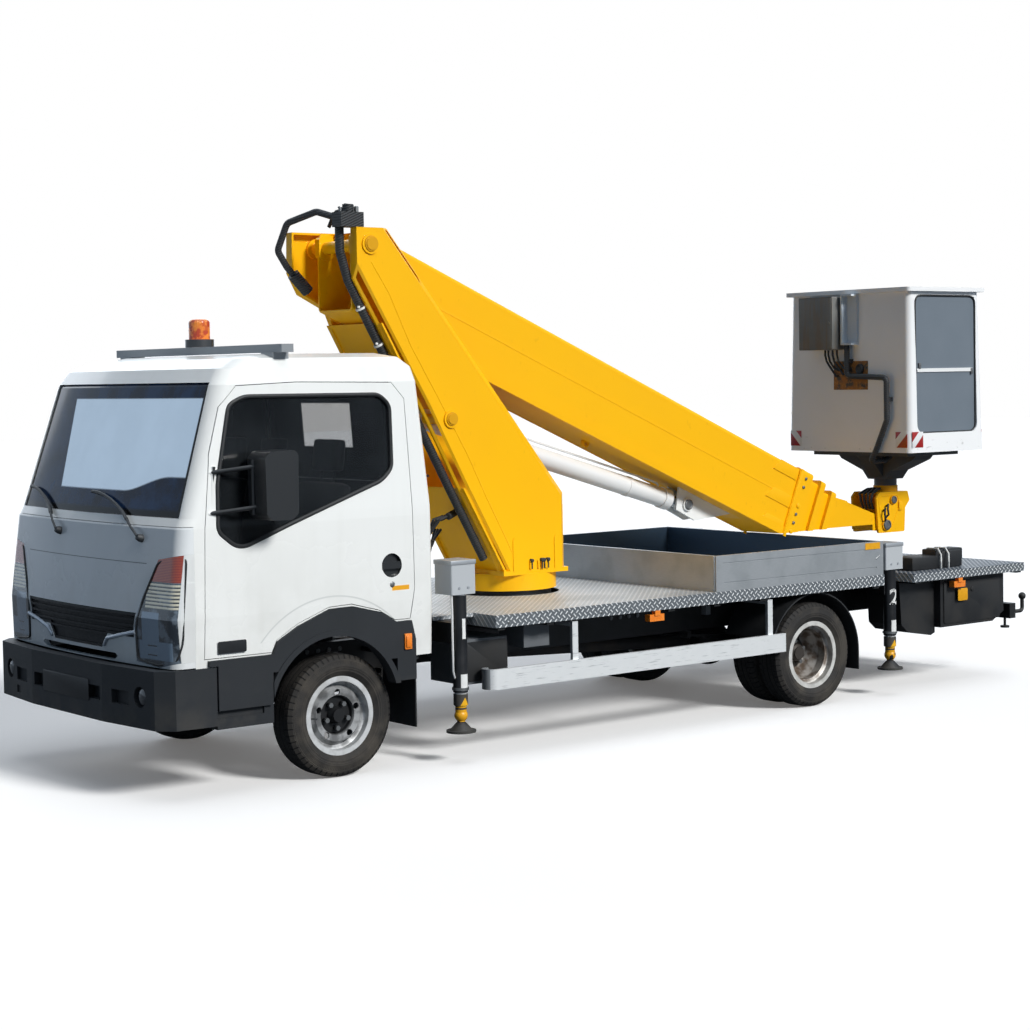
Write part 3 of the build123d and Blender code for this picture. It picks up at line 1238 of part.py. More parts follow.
def basket_hose():
    """Hose from the cabinet down the basket's front wall to the turntable under its floor."""
    x = BASKET_X + BASKET_DEPTH / 2 + 30
    line = hose([(x, 30, 2229 - RUNNING_GAP), (x, 30, 2020), (x, 385, 2005), (x, 385, 1720), (x, 290, 1520),
                 (x, 240, 1440), (x - 180, 200, 1440), (x - 240, 190, 1466)], 19, 34)
    clips = [block(x - 60, x, y - 22, y + 22, z - 14, z + 14) for y, z in ((30, 2120), (385, 1860))]
    line = joined([line] + clips) - basket_form(-RUNNING_GAP, BASKET_FLOOR_Z, BASKET_TOP_Z)
    line -= block(BASKET_X - 270, BASKET_X + 270, -440, 440, 1470 - RUNNING_GAP, 1490)
    return max(line.solids(), key=lambda s: s.volume)


write("elbow_hoses", elbow_hoses())
write("basket_hose", basket_hose())
write("basket_carrier", basket_carrier())
write("basket_shell", basket_shell())
write("basket_gate", basket_gate())
write("control_box", control_box())
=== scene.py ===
"""A light truck with a slewing telescopic boom and a work basket, dressed around its CAD frame."""

import math

import bmesh
import bpy
from mathutils import Matrix, Vector
from mathutils.bvhtree import BVHTree


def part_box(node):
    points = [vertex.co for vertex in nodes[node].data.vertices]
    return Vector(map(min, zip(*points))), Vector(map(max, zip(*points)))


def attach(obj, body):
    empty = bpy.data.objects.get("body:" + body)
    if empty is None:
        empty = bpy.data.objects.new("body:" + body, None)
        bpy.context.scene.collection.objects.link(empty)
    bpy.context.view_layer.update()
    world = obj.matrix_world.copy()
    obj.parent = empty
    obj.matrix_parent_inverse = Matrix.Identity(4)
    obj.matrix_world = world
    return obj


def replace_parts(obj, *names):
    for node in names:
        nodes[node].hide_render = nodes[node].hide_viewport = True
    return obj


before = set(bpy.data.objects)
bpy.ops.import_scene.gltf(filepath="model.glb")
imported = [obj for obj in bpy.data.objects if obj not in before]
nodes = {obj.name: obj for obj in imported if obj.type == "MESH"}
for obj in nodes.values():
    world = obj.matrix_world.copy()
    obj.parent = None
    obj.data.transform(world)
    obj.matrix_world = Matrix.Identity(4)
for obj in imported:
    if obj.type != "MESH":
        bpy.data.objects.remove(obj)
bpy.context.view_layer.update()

# Camera, lamps and floor: a studio sweep that is white where the camera sees it, with one soft key lamp
# high on the truck's left, a wide one overhead, a low fill on its right, and a dim blue sky light.
EYE = Vector((8.169, 9.907, 2.059))
YAW, PITCH, ROLL = (math.radians(a) for a in (-128.123, -2.654, -0.979))
look = Vector((math.cos(YAW) * math.cos(PITCH), math.sin(YAW) * math.cos(PITCH), math.sin(PITCH)))
level_right = look.cross(Vector((0, 0, 1))).normalized()
level_up = level_right.cross(look)
right = level_right * math.cos(ROLL) + level_up * math.sin(ROLL)
up = level_up * math.cos(ROLL) - level_right * math.sin(ROLL)
camera = bpy.data.objects.new("camera", bpy.data.cameras.new("camera"))
camera.data.sensor_width = 36
camera.data.lens = 73.35
camera.data.shift_x, camera.data.shift_y = -0.0017, -0.0407
camera.data.clip_end = 200
camera.matrix_world = Matrix((right, up, -look)).transposed().to_4x4()
camera.matrix_world.translation = EYE
bpy.context.scene.collection.objects.link(camera)
bpy.context.scene.camera = camera
bpy.context.scene.view_settings.view_transform = "Standard"

LAMPS = (
    # name, direction the light travels, strength, angle in degrees, colour
    ("key", (0.16, -0.82, -0.55), 3.3, 14, (1.0, 0.99, 0.97)),
    ("top", (0.05, -0.05, -1.0), 0.7, 50, (1.0, 1.0, 1.0)),
    ("fill", (0.35, 0.92, -0.16), 1.3, 60, (0.94, 0.97, 1.0)),
)
for name, direction, strength, spread, tint in LAMPS:
    lamp = bpy.data.objects.new(name, bpy.data.lights.new(name, "SUN"))
    lamp.data.energy, lamp.data.angle, lamp.data.color = strength, math.radians(spread), tint
    lamp.rotation_euler = Vector(direction).to_track_quat("-Z", "Y").to_euler()
    bpy.context.scene.collection.objects.link(lamp)


class Value:
    """A number on a shader socket, with the operators that shader sums use."""

    def __init__(self, graph, socket):
        self.graph, self.socket = graph, socket

    def sum(self, operation, *others):
        return self.graph.node("ShaderNodeMath", {"operation": operation}, [self, *others])

    def __add__(self, other):
        return self.sum("ADD", other)

    def __sub__(self, other):
        return self.sum("SUBTRACT", other)

    def __rsub__(self, other):
        return self.graph.node("ShaderNodeMath", {"operation": "SUBTRACT"}, [other, self])

    def __mul__(self, other):
        return self.sum("MULTIPLY", other)

    def __truediv__(self, other):
        return self.sum("DIVIDE", other)

    def __abs__(self):
        return self.sum("ABSOLUTE")

    __radd__, __rmul__ = __add__, __mul__

    def above(self, edge, soft=0.001):
        """1 where the value is over edge, 0 below, with a soft step between."""
        settings = {"interpolation_type": "SMOOTHSTEP"}
        return self.graph.node("ShaderNodeMapRange", settings, [self, edge - soft, edge + soft, 0.0, 1.0])

    def between(self, low, high, soft=0.001):
        return self.above(low, soft) * (1 - self.above(high, soft))

    def stripes(self, low, high, soft=0.001):
        """1 where the fraction of the value is between low and high, so once in every whole number."""
        return self.sum("FRACT").between(low, high, soft)


def shade(hex_code):
    """Linear colour of an sRGB hex code."""
    values = [int(hex_code[k:k + 2], 16) / 255 for k in (0, 2, 4)]
    linear = [v / 12.92 if v <= 0.04045 else ((v + 0.055) / 1.055) ** 2.4 for v in values]
    return (*linear, 1.0)


class Graph:
    """A node tree, with one way to add a node to it. A colour may be given as a hex code."""

    def __init__(self, tree):
        self.tree = tree

    def node(self, kind, settings, inputs, output=0):
        """Adds a node: its settings first, then values or links for its sockets, in order or by name."""
        made = self.tree.nodes.new(kind)
        for key, value in settings.items():
            setattr(made, key, value)
        for key, value in inputs.items() if isinstance(inputs, dict) else enumerate(inputs):
            if isinstance(value, Value):
                self.tree.links.new(value.socket, made.inputs[key])
            else:
                made.inputs[key].default_value = shade(value) if isinstance(value, str) else value
        return Value(self, made.outputs[output]) if made.outputs else None

    def blend(self, first, second, factor):
        """Colour between first and second, by factor."""
        return self.node("ShaderNodeMix", {"data_type": "RGBA"}, {0: factor, 6: first, 7: second}, 2)

    def ray(self, kind):
        """1 where the ray is of this kind, such as Camera or Glossy."""
        return self.node("ShaderNodeLightPath", {}, {}, "Is %s Ray" % kind)


class Finish(Graph):
    """One finish: a Principled shader whose colour, roughness and bump are built up in Python."""

    def __init__(self, name, **plain):
        self.material = bpy.data.materials.new(name)
        self.material.use_nodes = True
        super().__init__(self.material.node_tree)
        self.shader = self.tree.nodes["Principled BSDF"]
        for socket, value in plain.items():
            self.shader.inputs[socket.replace("_", " ")].default_value = value
        self.place = self.node("ShaderNodeTexCoord", {}, {}, "Object")
        parts = self.node("ShaderNodeSeparateXYZ", {}, [self.place]).socket.node
        self.x, self.y, self.z = (Value(self, socket) for socket in parts.outputs)

    def noise(self, scale, detail=3.0, stretch=None):
        """Cloudy noise from 0 to 1, stretched along the axes where stretch is given."""
        where = self.place
        if stretch:
            where = self.node("ShaderNodeMapping", {}, {"Vector": where, "Scale": stretch})
        return self.node("ShaderNodeTexNoise", {}, {"Vector": where, "Scale": scale, "Detail": detail})

    def set(self, **sockets):
        for socket, value in sockets.items():
            self.tree.links.new(value.socket, self.shader.inputs[socket.replace("_", " ")])
        self.colour = sockets.get("Base_Color", getattr(self, "colour", None))
        self.rough = sockets.get("Roughness", getattr(self, "rough", 0.5))
        return self

    def over(self, mask, colour, roughness=0.5):
        """Lays another colour and roughness over the finish where mask is 1."""
        return self.set(Base_Color=self.blend(self.colour, colour, mask),
                        Roughness=self.rough + (roughness - self.rough) * mask)

    def within(self, low, high, soft=0.001):
        """1 inside a box on the object; None leaves that side open."""
        mask = 1.0
        for part, a, b in zip((self.x, self.y, self.z), low, high):
            if a is not None:
                mask = part.above(a, soft) * mask
            if b is not None:
                mask = (1 - part.above(b, soft)) * mask
        return mask

    def away(self, **centre):
        """Distance from a line or a point; a coordinate that is left out isn't counted."""
        total = 0.0
        for axis, value in centre.items():
            apart = getattr(self, axis) - value
            total = apart * apart + total
        return total.sum("SQRT")

    def bump(self, height, strength=0.3, distance=0.002):
        sizes = {"Strength": strength, "Distance": distance, "Height": height}
        self.tree.links.new(self.node("ShaderNodeBump", {}, sizes).socket, self.shader.inputs["Normal"])
        return self


SKY_LIGHT, SKY_GLOSS = (0.055, 0.09, 0.135, 1), (0.50, 0.60, 0.72, 1)
world = bpy.data.worlds.new("studio")
bpy.context.scene.world = world
world.use_nodes = True
sky = Graph(world.node_tree)
sky.tree.nodes.clear()
direct = sky.ray("Camera").sum("MAXIMUM", sky.ray("Transmission"))
shown = sky.blend(sky.blend(SKY_LIGHT, (1, 1, 1, 1), direct), SKY_GLOSS, sky.ray("Glossy"))
backdrop = sky.node("ShaderNodeBackground", {}, {"Color": shown})
sky.node("ShaderNodeOutputWorld", {}, {"Surface": backdrop})

floor_paint = Finish("studio_floor", Roughness=0.9, Emission_Strength=1.0)
direct = floor_paint.ray("Camera").sum("MAXIMUM", floor_paint.ray("Transmission"))
sweep_white = floor_paint.blend("fdfdfd", "fbfbfb", floor_paint.noise(0.4))
floor_paint.set(Base_Color=floor_paint.blend("50555b", sweep_white, direct),
                Emission_Color=floor_paint.blend((0, 0, 0, 1), (0.13, 0.125, 0.12, 1), direct))
REACH = 60
floor_mesh = bpy.data.meshes.new("floor")
corners = [(x * REACH, y * REACH, 0) for x, y in ((-1, -1), (1, -1), (1, 1), (-1, 1))]
floor_mesh.from_pydata(corners, [], [(0, 1, 2, 3)])
floor_mesh.materials.append(floor_paint.material)
floor = bpy.data.objects.new("floor", floor_mesh)
bpy.context.scene.collection.objects.link(floor)


def dress(names, finish):
    """Gives CAD nodes their finish."""
    for name in names:
        nodes[name].data.materials.clear()
        nodes[name].data.materials.append(finish.material)


# Tyres: road tyres of black rubber, moulded with a grooved tread, lugs at the shoulder and rings on
# the side wall, and dusty from use. Each sits on its rim, and the rear ones are in pairs.
WHEEL_Z = 0.32
FRONT_X, REAR_X = 2.25, -1.15
FRONT_TYRE_Y = 0.775
TWIN_TYRE_Y = (0.865, 0.641)
LUGS = 56


def axle_distance(finish, wheel_x):
    """Distance from the axle at wheel_x, with the offsets along X and Z."""
    dx, dz = finish.x - wheel_x, finish.z - WHEEL_Z
    return (dx * dx + dz * dz).sum("SQRT"), dx, dz


def tyre_rubber(name, wheel_x, tyre_y):
    """Rubber whose tread and side wall follow the axle at wheel_x."""
    finish = Finish(name, Specular_IOR_Level=0.35)
    radius, dx, dz = axle_distance(finish, wheel_x)
    turn = dx.sum("ARCTAN2", dz) * (LUGS / (2 * math.pi))
    out = abs(finish.y)
    across = abs(out - tyre_y[0])
    for other in tyre_y[1:]:
        across = across.sum("MINIMUM", abs(out - other))
    grooves = across.between(-0.004, 0.004, 0.001) + across.between(0.034, 0.041, 0.001)
    cuts = turn.stripes(0.0, 0.22, 0.05) * across.above(0.045, 0.002)
    fine = (turn * 2).stripes(0.1, 0.22, 0.04) * across.between(0.008, 0.03, 0.002)
    tread = radius.above(0.296, 0.003)
    rings = radius.between(0.232, 0.236) + radius.between(0.246, 0.249) + radius.between(0.286, 0.289)
    ribs = (turn * 3).sum("FRACT").above(0.6, 0.1) * radius.between(0.27, 0.283)
    worn = finish.noise(90, 4)
    height = 1 - (grooves + cuts + fine * 0.6) * tread + (rings * 0.25 + ribs * 0.15) + worn * 0.06
    dust = finish.noise(7, 5).above(0.52, 0.16) * (1 - tread * 0.4)
    dusty = finish.blend(finish.blend("1c1b1b", "2e2c2a", worn), "57524b", dust * 0.55 + rings * 0.2)
    deep = finish.blend(dusty, "0d0d0d", (grooves + cuts).sum("MINIMUM", 1.0) * tread)
    finish.set(Base_Color=deep, Roughness=0.72 + dust * 0.2)
    return finish.bump(height, 0.9, 0.006)


dress(("tyre_front_left", "tyre_front_right"), tyre_rubber("front_tyre_rubber", FRONT_X, (FRONT_TYRE_Y,)))
dress(("tyre_rear_left", "tyre_rear_right"), tyre_rubber("rear_tyre_rubber", REAR_X, TWIN_TYRE_Y))


# Rims: pressed steel wheels in silver paint, the hubs left dark, and the rear ones rusty inside the
# dish, which is also darkened as painted shade. Hexagon nuts hold each to its hub, with a valve through the
# rim.
def rim_paint(name, wheel_x, bright, hub, dish_dust_and_shade):
    """Silver wheel paint: a bright flange, brake dust in the dish, darkened further as painted shade, and a
    darker hub.
    """
    finish = Finish(name, Metallic=0.35)
    radius = axle_distance(finish, wheel_x)[0]
    cloud = finish.noise(16, 6)
    # The dish is darkened with brake dust and rust, and further as painted shade in its hollow.
    dish = 1 - radius.above(0.176, 0.012)
    tone = finish.blend(bright, "9c9b97", cloud.above(0.5, 0.2) * 0.5)
    darkened = finish.blend(tone, dish_dust_and_shade, dish * (0.55 + cloud.above(0.5, 0.12) * 0.4))
    centre = finish.blend(darkened, hub, 1 - radius.above(0.1, 0.004))
    finish.set(Base_Color=centre, Roughness=0.38 + cloud * 0.3)
    return finish.bump(finish.noise(160, 2), 0.12, 0.001)


dress(("rim_front_left", "rim_front_right"),
      rim_paint("front_rim_silver", FRONT_X, "d9dbdc", "17181a", "5c5d5e"))
dress(("rim_rear_left", "rim_rear_right"),
      rim_paint("rear_rim_silver", REAR_X, "e2e1dc", "3f3a35", "5a4838"))


def clouded(name, first, second, scale, detail, rough=(), grain=(), **plain):
    """A finish in two tones, blended by cloudy noise.

    rough is the roughness where the noise is 0, what the noise adds to it, and the scale and detail of
    a noise of its own, if it has one. grain is a fine noise's scale, strength and depth as bump.
    """
    finish = Finish(name, **plain)
    finish.cloud = finish.noise(scale, detail)
    finish.set(Base_Color=finish.blend(first, second, finish.cloud))
    if rough:
        spots = finish.noise(*rough[2:]) if rough[2:] else finish.cloud
        finish.set(Roughness=rough[0] + spots * rough[1])
    if grain:
        finish.bump(finish.noise(grain[0], 2), *grain[1:])
    return finish


class Pattern(Graph):
    """A Geometry Nodes tree that repeats a small shape; its result becomes a plain mesh."""

    KINDS = {float: "NodeSocketFloat", int: "NodeSocketInt", tuple: "NodeSocketVector"}

    def __init__(self, name, **sizes):
        super().__init__(bpy.data.node_groups.new(name, "GeometryNodeTree"))
        self.names, self.sizes = {}, sizes
        for size, value in sizes.items():
            socket = self.tree.interface.new_socket(size, in_out="INPUT", socket_type=self.KINDS[type(value)])
            self.names[size] = socket.identifier
        self.tree.interface.new_socket("Geometry", in_out="OUTPUT", socket_type="NodeSocketGeometry")
        self.entry = self.tree.nodes.new("NodeGroupInput")

    def size(self, name):
        return Value(self, self.entry.outputs[name])

    def row(self):
        """Points in a straight row."""
        count, start, step = (self.size(name) for name in ("Count", "Start", "Step"))
        places = {"Count": count, "Start Location": start, "Offset": step}
        return self.node("GeometryNodeMeshLine", {"mode": "OFFSET"}, places)

    def repeat(self, shape, points, finish, **turn):
        """Ends the tree with the shape on every point, in this finish."""
        copies = self.node("GeometryNodeInstanceOnPoints", {}, {"Points": points, "Instance": shape, **turn})
        solid = self.node("GeometryNodeRealizeInstances", {}, {"Geometry": copies})
        painted = self.node("GeometryNodeSetMaterial", {}, {"Geometry": solid, "Material": finish.material})
        self.node("NodeGroupOutput", {}, [painted])

    def mesh(self, **values):
        """The pattern at these sizes as a plain mesh."""
        holder = bpy.data.objects.new("holder", bpy.data.meshes.new("holder"))
        bpy.context.scene.collection.objects.link(holder)
        modifier = holder.modifiers.new("pattern", "NODES")
        modifier.node_group = self.tree
        for size, value in {**self.sizes, **values}.items():
            modifier[self.names[size]] = value
        ready = holder.evaluated_get(bpy.context.evaluated_depsgraph_get())
        mesh = bpy.data.meshes.new_from_object(ready)
        bpy.data.objects.remove(holder)
        return mesh


zinc = clouded("zinc_plate", "8d8f90", "5f6060", 60, 4, (0.35, 0.3), Metallic=0.9)
zinc.bump(zinc.cloud, 0.1, 0.0005)

bolt_row = Pattern("bolt_row", Count=5, Start=(0.0, 0.0, 0.0), Step=(0.1, 0.0, 0.0), Turn=(0.0, 0.0, 0.0),
                   Radius=0.008, Height=0.007)
radius = bolt_row.size("Radius")
head = bolt_row.node("GeometryNodeMeshCylinder", {},
                     {"Vertices": 6, "Radius": radius, "Depth": bolt_row.size("Height")})
washer = bolt_row.node("GeometryNodeMeshCylinder", {},
                       {"Vertices": 16, "Radius": radius * 1.35, "Depth": 0.002})
bolt = bolt_row.node("GeometryNodeJoinGeometry", {}, [head])
bolt_row.tree.links.new(washer.socket, bolt.socket.node.inputs[0])
bolt_row.repeat(bolt, bolt_row.row(), zinc, Rotation=bolt_row.size("Turn"))

nut_circle = Pattern("nut_circle", Count=5, Circle=0.068, Radius=0.014, Height=0.016)
radius, depth = nut_circle.size("Radius"), nut_circle.size("Height")
nut = nut_circle.node("GeometryNodeMeshCylinder", {}, {"Vertices": 6, "Radius": radius, "Depth": depth})
ring = nut_circle.node("GeometryNodeMeshCircle", {},
                       {"Vertices": nut_circle.size("Count"), "Radius": nut_circle.size("Circle")})
nut_circle.repeat(nut, ring, zinc)


class Work:
    """A mesh put together from bevelled boxes, rods, tubes and turned shapes, in metres."""

    def __init__(self):
        self.mesh = bmesh.new()

    def box(self, low, high, bevel=0.002):
        made = bmesh.ops.create_cube(self.mesh, size=1)["verts"]
        size = [abs(b - a) for a, b in zip(low, high)]
        bmesh.ops.scale(self.mesh, vec=size, verts=made)
        edges = list({e for v in made for e in v.link_edges})
        result = bmesh.ops.bevel(self.mesh, geom=edges, offset=min(bevel, min(size) * 0.45), segments=2,
                                 affect="EDGES", profile=0.6)
        made = list({v for f in result["faces"] for v in f.verts} | {v for v in made if v.is_valid})
        bmesh.ops.translate(self.mesh, vec=(Vector(low) + Vector(high)) / 2, verts=made)
        return self

    def ring(self, at, side, other, radius, steps):
        """A ring of points round a place, or the place alone where the radius is 0."""
        if radius < 1e-6:
            return [self.mesh.verts.new(at)]
        angles = [2 * math.pi * k / steps for k in range(steps)]
        return [self.mesh.verts.new(at + (side * math.cos(a) + other * math.sin(a)) * radius) for a in angles]

    def turned(self, centre, axis, profile, steps=32):
        """Turns (distance along the axis, radius) pairs about an axis through centre."""
        centre, axis = Vector(centre), Vector(axis).normalized()
        side = axis.orthogonal().normalized()
        other = axis.cross(side)
        self.skin([self.ring(centre + axis * along, side, other, radius, steps) for along, radius in profile])
        return self

    def skin(self, rings):
        """Joins rings of points into a closed shape."""
        for ring, following in zip(rings, rings[1:]):
            count = max(len(ring), len(following))
            for k in range(count):
                corners = [ring[k % len(ring)], ring[(k + 1) % len(ring)],
                           following[(k + 1) % len(following)], following[k % len(following)]]
                self.mesh.faces.new(list(dict.fromkeys(corners)))
        for ring in (rings[0], rings[-1]):
            if len(ring) > 2:
                self.mesh.faces.new(ring)

    def rod(self, start, end, radius, steps=16, bevel=0.0):
        length = (Vector(end) - Vector(start)).length
        bevel = min(bevel, radius * 0.4, length * 0.3)
        profile = [(0, radius - bevel), (bevel, radius), (length - bevel, radius), (length, radius - bevel)]
        if not bevel:
            profile = [(0, radius), (length, radius)]
        return self.turned(start, Vector(end) - Vector(start), profile, steps)

    def tube(self, points, radius, steps=12):
        """A tube along smooth points, its ends closed."""
        route = [Vector(p) for p in points]
        side = None
        rings = []
        for k, at in enumerate(route):
            ahead = (route[min(k + 1, len(route) - 1)] - route[max(k - 1, 0)]).normalized()
            side = ahead.orthogonal() if side is None else side - ahead * side.dot(ahead)
            side.normalize()
            rings.append(self.ring(at, side, ahead.cross(side), radius, steps))
        self.skin(rings)
        return self

    def plate(self, outline, thick, bevel=0.0):
        """A flat outline of points given thickness along the vector thick."""
        thick = Vector(thick)
        base = [self.mesh.verts.new(Vector(p)) for p in outline]
        top = [self.mesh.verts.new(Vector(p) + thick) for p in outline]
        self.skin([base, top])
        if bevel:
            ring_edges = [e for v in top for e in v.link_edges if all(w in top for w in e.verts)]
            bmesh.ops.bevel(self.mesh, geom=list(set(ring_edges)), offset=bevel, segments=2, affect="EDGES",
                            profile=0.6)
        return self

    def sheet(self, axis, at, low, high, thick, radius=0.0, bevel=0.0):
        """An upright plate across the x or y axis, from one corner to the other, its corners rounded off."""
        corners = (low, (high[0], low[1]), high, (low[0], high[1]))
        outline = [(at, u, z) if axis == "x" else (u, at, z) for u, z in corners]
        way = (thick, 0, 0) if axis == "x" else (0, thick, 0)
        return self.plate(rounded(outline, radius) if radius else outline, way, bevel)

    def add(self, mesh):
        self.mesh.from_mesh(mesh)
        return self

    def done(self, name, body, slot, finish, smooth=32):
        """Turns the work into a named piece that rides on a CAD body."""
        bmesh.ops.recalc_face_normals(self.mesh, faces=self.mesh.faces)
        mesh = bpy.data.meshes.new(name)
        self.mesh.to_mesh(mesh)
        self.mesh.free()
        mesh.shade_smooth()
        mesh.set_sharp_from_angle(angle=math.radians(smooth))
        mesh.materials.append(finish.material)
        piece = bpy.data.objects.new(name, mesh)
        bpy.context.scene.collection.objects.link(piece)
        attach(piece, body)
        return piece


def rounded(points, radius=0.03, steps=5):
    """Closed outline whose corners are rounded off, radius being the length cut from each side."""
    points = [Vector(p) for p in points]
    round_points = []
    for before, corner, after in zip(points[-1:] + points, points, points[1:] + points[:1]):
        cut_in = min(radius, (before - corner).length * 0.49)
        cut_out = min(radius, (after - corner).length * 0.49)
        start = corner + (before - corner).normalized() * cut_in
        end = corner + (after - corner).normalized() * cut_out
        for k in range(steps + 1):
            f = k / steps
            round_points.append(start * (1 - f) ** 2 + corner * 2 * f * (1 - f) + end * f ** 2)
    return round_points


SIDES = ((1, "left"), (-1, "right"))
NUTS = (
    # axle, its x, y of the nuts' middle, nut circle's radius, first nut's angle
    ("front", FRONT_X, 0.824, 0.068, 54), ("rear", REAR_X, 0.791, 0.072, 18),
)
for axle, x, out, circle, first in NUTS:
    for side, name in SIDES:
        nuts = nut_circle.mesh(Circle=circle)
        lay = Matrix.Translation((x, side * out, WHEEL_Z)) @ Matrix.Rotation(math.radians(-first), 4, "Y")
        nuts.transform(lay @ Matrix.Rotation(math.radians(90), 4, "X"))
        valve = (x + 0.165, side * (out + 0.01), WHEEL_Z), (x + 0.15, side * (out + 0.045), WHEEL_Z)
        work = Work().add(nuts).rod(*valve, 0.005, 8)
        work.done("wheel_nuts_%s_%s" % (axle, name), "wheel_%s_%s" % (axle, name), "steel", zinc)


# Chassis: pressed rails and cross members in black paint, springs, axles and the engine and gearbox,
# all dusty where the road reaches them. Bolts hold the brackets to the rails.
def black_paint(name, clean, dusty, gloss=0.42):
    """Black chassis paint with road dust settled in clouds, thicker low down."""
    finish = Finish(name)
    cloud = finish.noise(5, 6)
    low = 1 - finish.z.above(0.55, 0.35)
    dust = cloud.above(0.5, 0.18) * (0.25 + low * 0.45)
    finish.set(Base_Color=finish.blend(clean, dusty, dust), Roughness=gloss + dust * 0.4)
    return finish.bump(finish.noise(140, 3), 0.15, 0.001)


chassis_black = black_paint("chassis_black", "0b0c0e", "2f2d2a")
dress(("chassis_frame", "subframe", "front_axle_beam", "rear_axle_casing", "leaf_springs"), chassis_black)
cast_grey = black_paint("cast_grey", "3a3b3c", "6b6157", 0.6)
dress(("engine_block", "propshaft", "knuckle_left", "knuckle_right"), cast_grey)

FLAT_ON_SIDE, FLAT_ON_FRONT = (math.pi / 2, 0.0, 0.0), (0.0, math.pi / 2, 0.0)
RAIL_BOLTS = (
    # first x, count, height
    (1.95, 4, 0.60), (0.95, 5, 0.52), (-0.2, 4, 0.60), (-1.75, 5, 0.52), (-2.6, 4, 0.60),
)
for side, name in SIDES:
    work = Work()
    for first, count, height in RAIL_BOLTS:
        work.add(bolt_row.mesh(Count=count, Start=(first, side * 0.403, height), Step=(0.07, 0.0, 0.0),
                               Turn=FLAT_ON_SIDE, Radius=0.01, Height=0.009))
    work.done("rail_bolts_" + name, "chassis", "steel", zinc)


# Cab body: a welded steel cab in white enamel over a pressed front mask, dusty at its foot, with dark
# trim inside that is painted darker still as painted shade. The roof and pillars are one paint job; the
# mask is in the same enamel, painted a shade cooler and darker as painted shade.
def enamel(name, colour, dirt=0.4):
    """Glossy sprayed enamel with faint run-off marks, and road film low down."""
    finish = Finish(name, Coat_Roughness=0.06, Coat_Weight=0.3)
    film = finish.noise(3.2, 6).above(0.5, 0.16) * (1 - finish.z.above(0.95, 0.5))
    runs = finish.noise(11, 4, (1, 1, 0.1)).above(0.6, 0.12)
    darkened = finish.blend(colour, "bdbdb6", film * dirt + runs * 0.06)
    finish.set(Base_Color=darkened, Roughness=0.24 + film * 0.35)
    return finish.bump(finish.noise(240, 2), 0.03, 0.0008)


CAB_SIDE = (
    # height, half width there, how far the side leans in above it
    (0.90, 0.936, 0.0), (1.39, 0.934, 0.063), (2.04, 0.893, 0.3125), (2.12, 0.868, 1.06), (2.17, 0.815, 4.32),
)
CAB_FRONT = (
    # height, front's x on the middle line, how far it leans back above it
    (0.90, 3.305, 0.125), (1.39, 3.225, 0.3154), (2.04, 3.02, 0.6875), (2.12, 2.965, 2.3), (2.17, 2.85, 8.18),
)
CORNER = 0.084


def under_skin(finish, place, planes):
    """How deep a place lies behind leaning planes."""
    depth = 1.0
    for height, at, lean in planes:
        depth = ((at - place - (finish.z - height) * lean) / (1 + lean)).sum("MINIMUM", depth)
    return depth


def trim_and_painted_shade_inside(finish):
    """Dark trim, painted darker still as painted shade, on the faces that lie inside the cab's skin,
    whose front is bowed and round-cornered.
    """
    out = abs(finish.y)
    side = (CORNER - under_skin(finish, out, CAB_SIDE)).sum("MAXIMUM", 0.0)
    front = (CORNER - under_skin(finish, finish.x + out * out * 0.078, CAB_FRONT)).sum("MAXIMUM", 0.0)
    depth = CORNER - (side * side + front * front).sum("SQRT")
    inside = depth.above(0.0225) * (1 - finish.z.above(2.169)) * finish.z.above(0.69)
    inside = inside * (finish.x - (finish.z - 1.39).sum("MAXIMUM", 0.0) * 0.077).above(1.72)
    # The near-black colour is partly the trim's own and partly painted shade of the cab's inside.
    return finish.over(inside, "17191b", 0.8)


dress(("cab_shell",), trim_and_painted_shade_inside(enamel("cab_enamel", "f1f3f1")))
# The mask's enamel is the cab's white painted a shade cooler and darker, as painted shade on the front.
mask_enamel = enamel("mask_enamel", "e9edef")
seam = mask_enamel.z.between(1.164, 1.1675, 0.0006) * (1 - abs(mask_enamel.y).above(0.66))
dress(("front_mask",), mask_enamel.over(seam, "33363a", 0.6))

# Doors: steel doors in the same enamel with a black pull handle in a round cup, and a mirror on black
# arms. The shut line shows as a dark gap, and a rubber seal holds the window.
SIDE_Y, SIDE_LEAN, SILL_Z = 0.936, 0.063, 1.39
HANDLE_X, HANDLE_Z = 1.965, 1.085
black_plastic = clouded("black_plastic", "1d1f21", "34373a", 6, 5, (0.45, 0.2, 700, 2), (700, 0.25, 0.0006))
rubber_black = clouded("rubber_black", "131415", "26282a", 30, 4, (), (300, 0.15, 0.0006), Roughness=0.62)
door_enamel = trim_and_painted_shade_inside(enamel("door_enamel", "f1f3f1"))
out = abs(door_enamel.y)
lean = (door_enamel.z - SILL_Z).sum("MAXIMUM", 0.0) * SIDE_LEAN
proud = (out + lean).above(SIDE_Y + 0.0035, 0.0006)
cup = (1 - door_enamel.away(x=HANDLE_X, z=HANDLE_Z).above(0.0625, 0.0006)) * out.above(0.9)
pull = door_enamel.within((1.908, None, 1.065), (2.027, None, 1.105))
strip = door_enamel.within((1.852, None, 0.948), (1.972, None, 0.982)) * out.above(0.925)
tape = door_enamel.within((1.858, None, 0.953), (1.966, None, 0.977))
# A thin grey arc round the front wheel arch: painted shade of a crease in the door skin.
arch_crease_painted_shade = door_enamel.away(x=2.335, z=0.40).between(0.548, 0.556, 0.002) * door_enamel.z.above(0.75)
door_enamel.over(strip, "f4f1e6", 0.4).over(strip * tape, "f0a91c", 0.35)
door_enamel.over(arch_crease_painted_shade * out.above(0.925), "d3d6d4", 0.3)
door_enamel.over((cup + proud + pull * out.above(0.91)).sum("MINIMUM", 1.0), "1f2123", 0.38)
dress(("door_left", "door_right"), door_enamel)

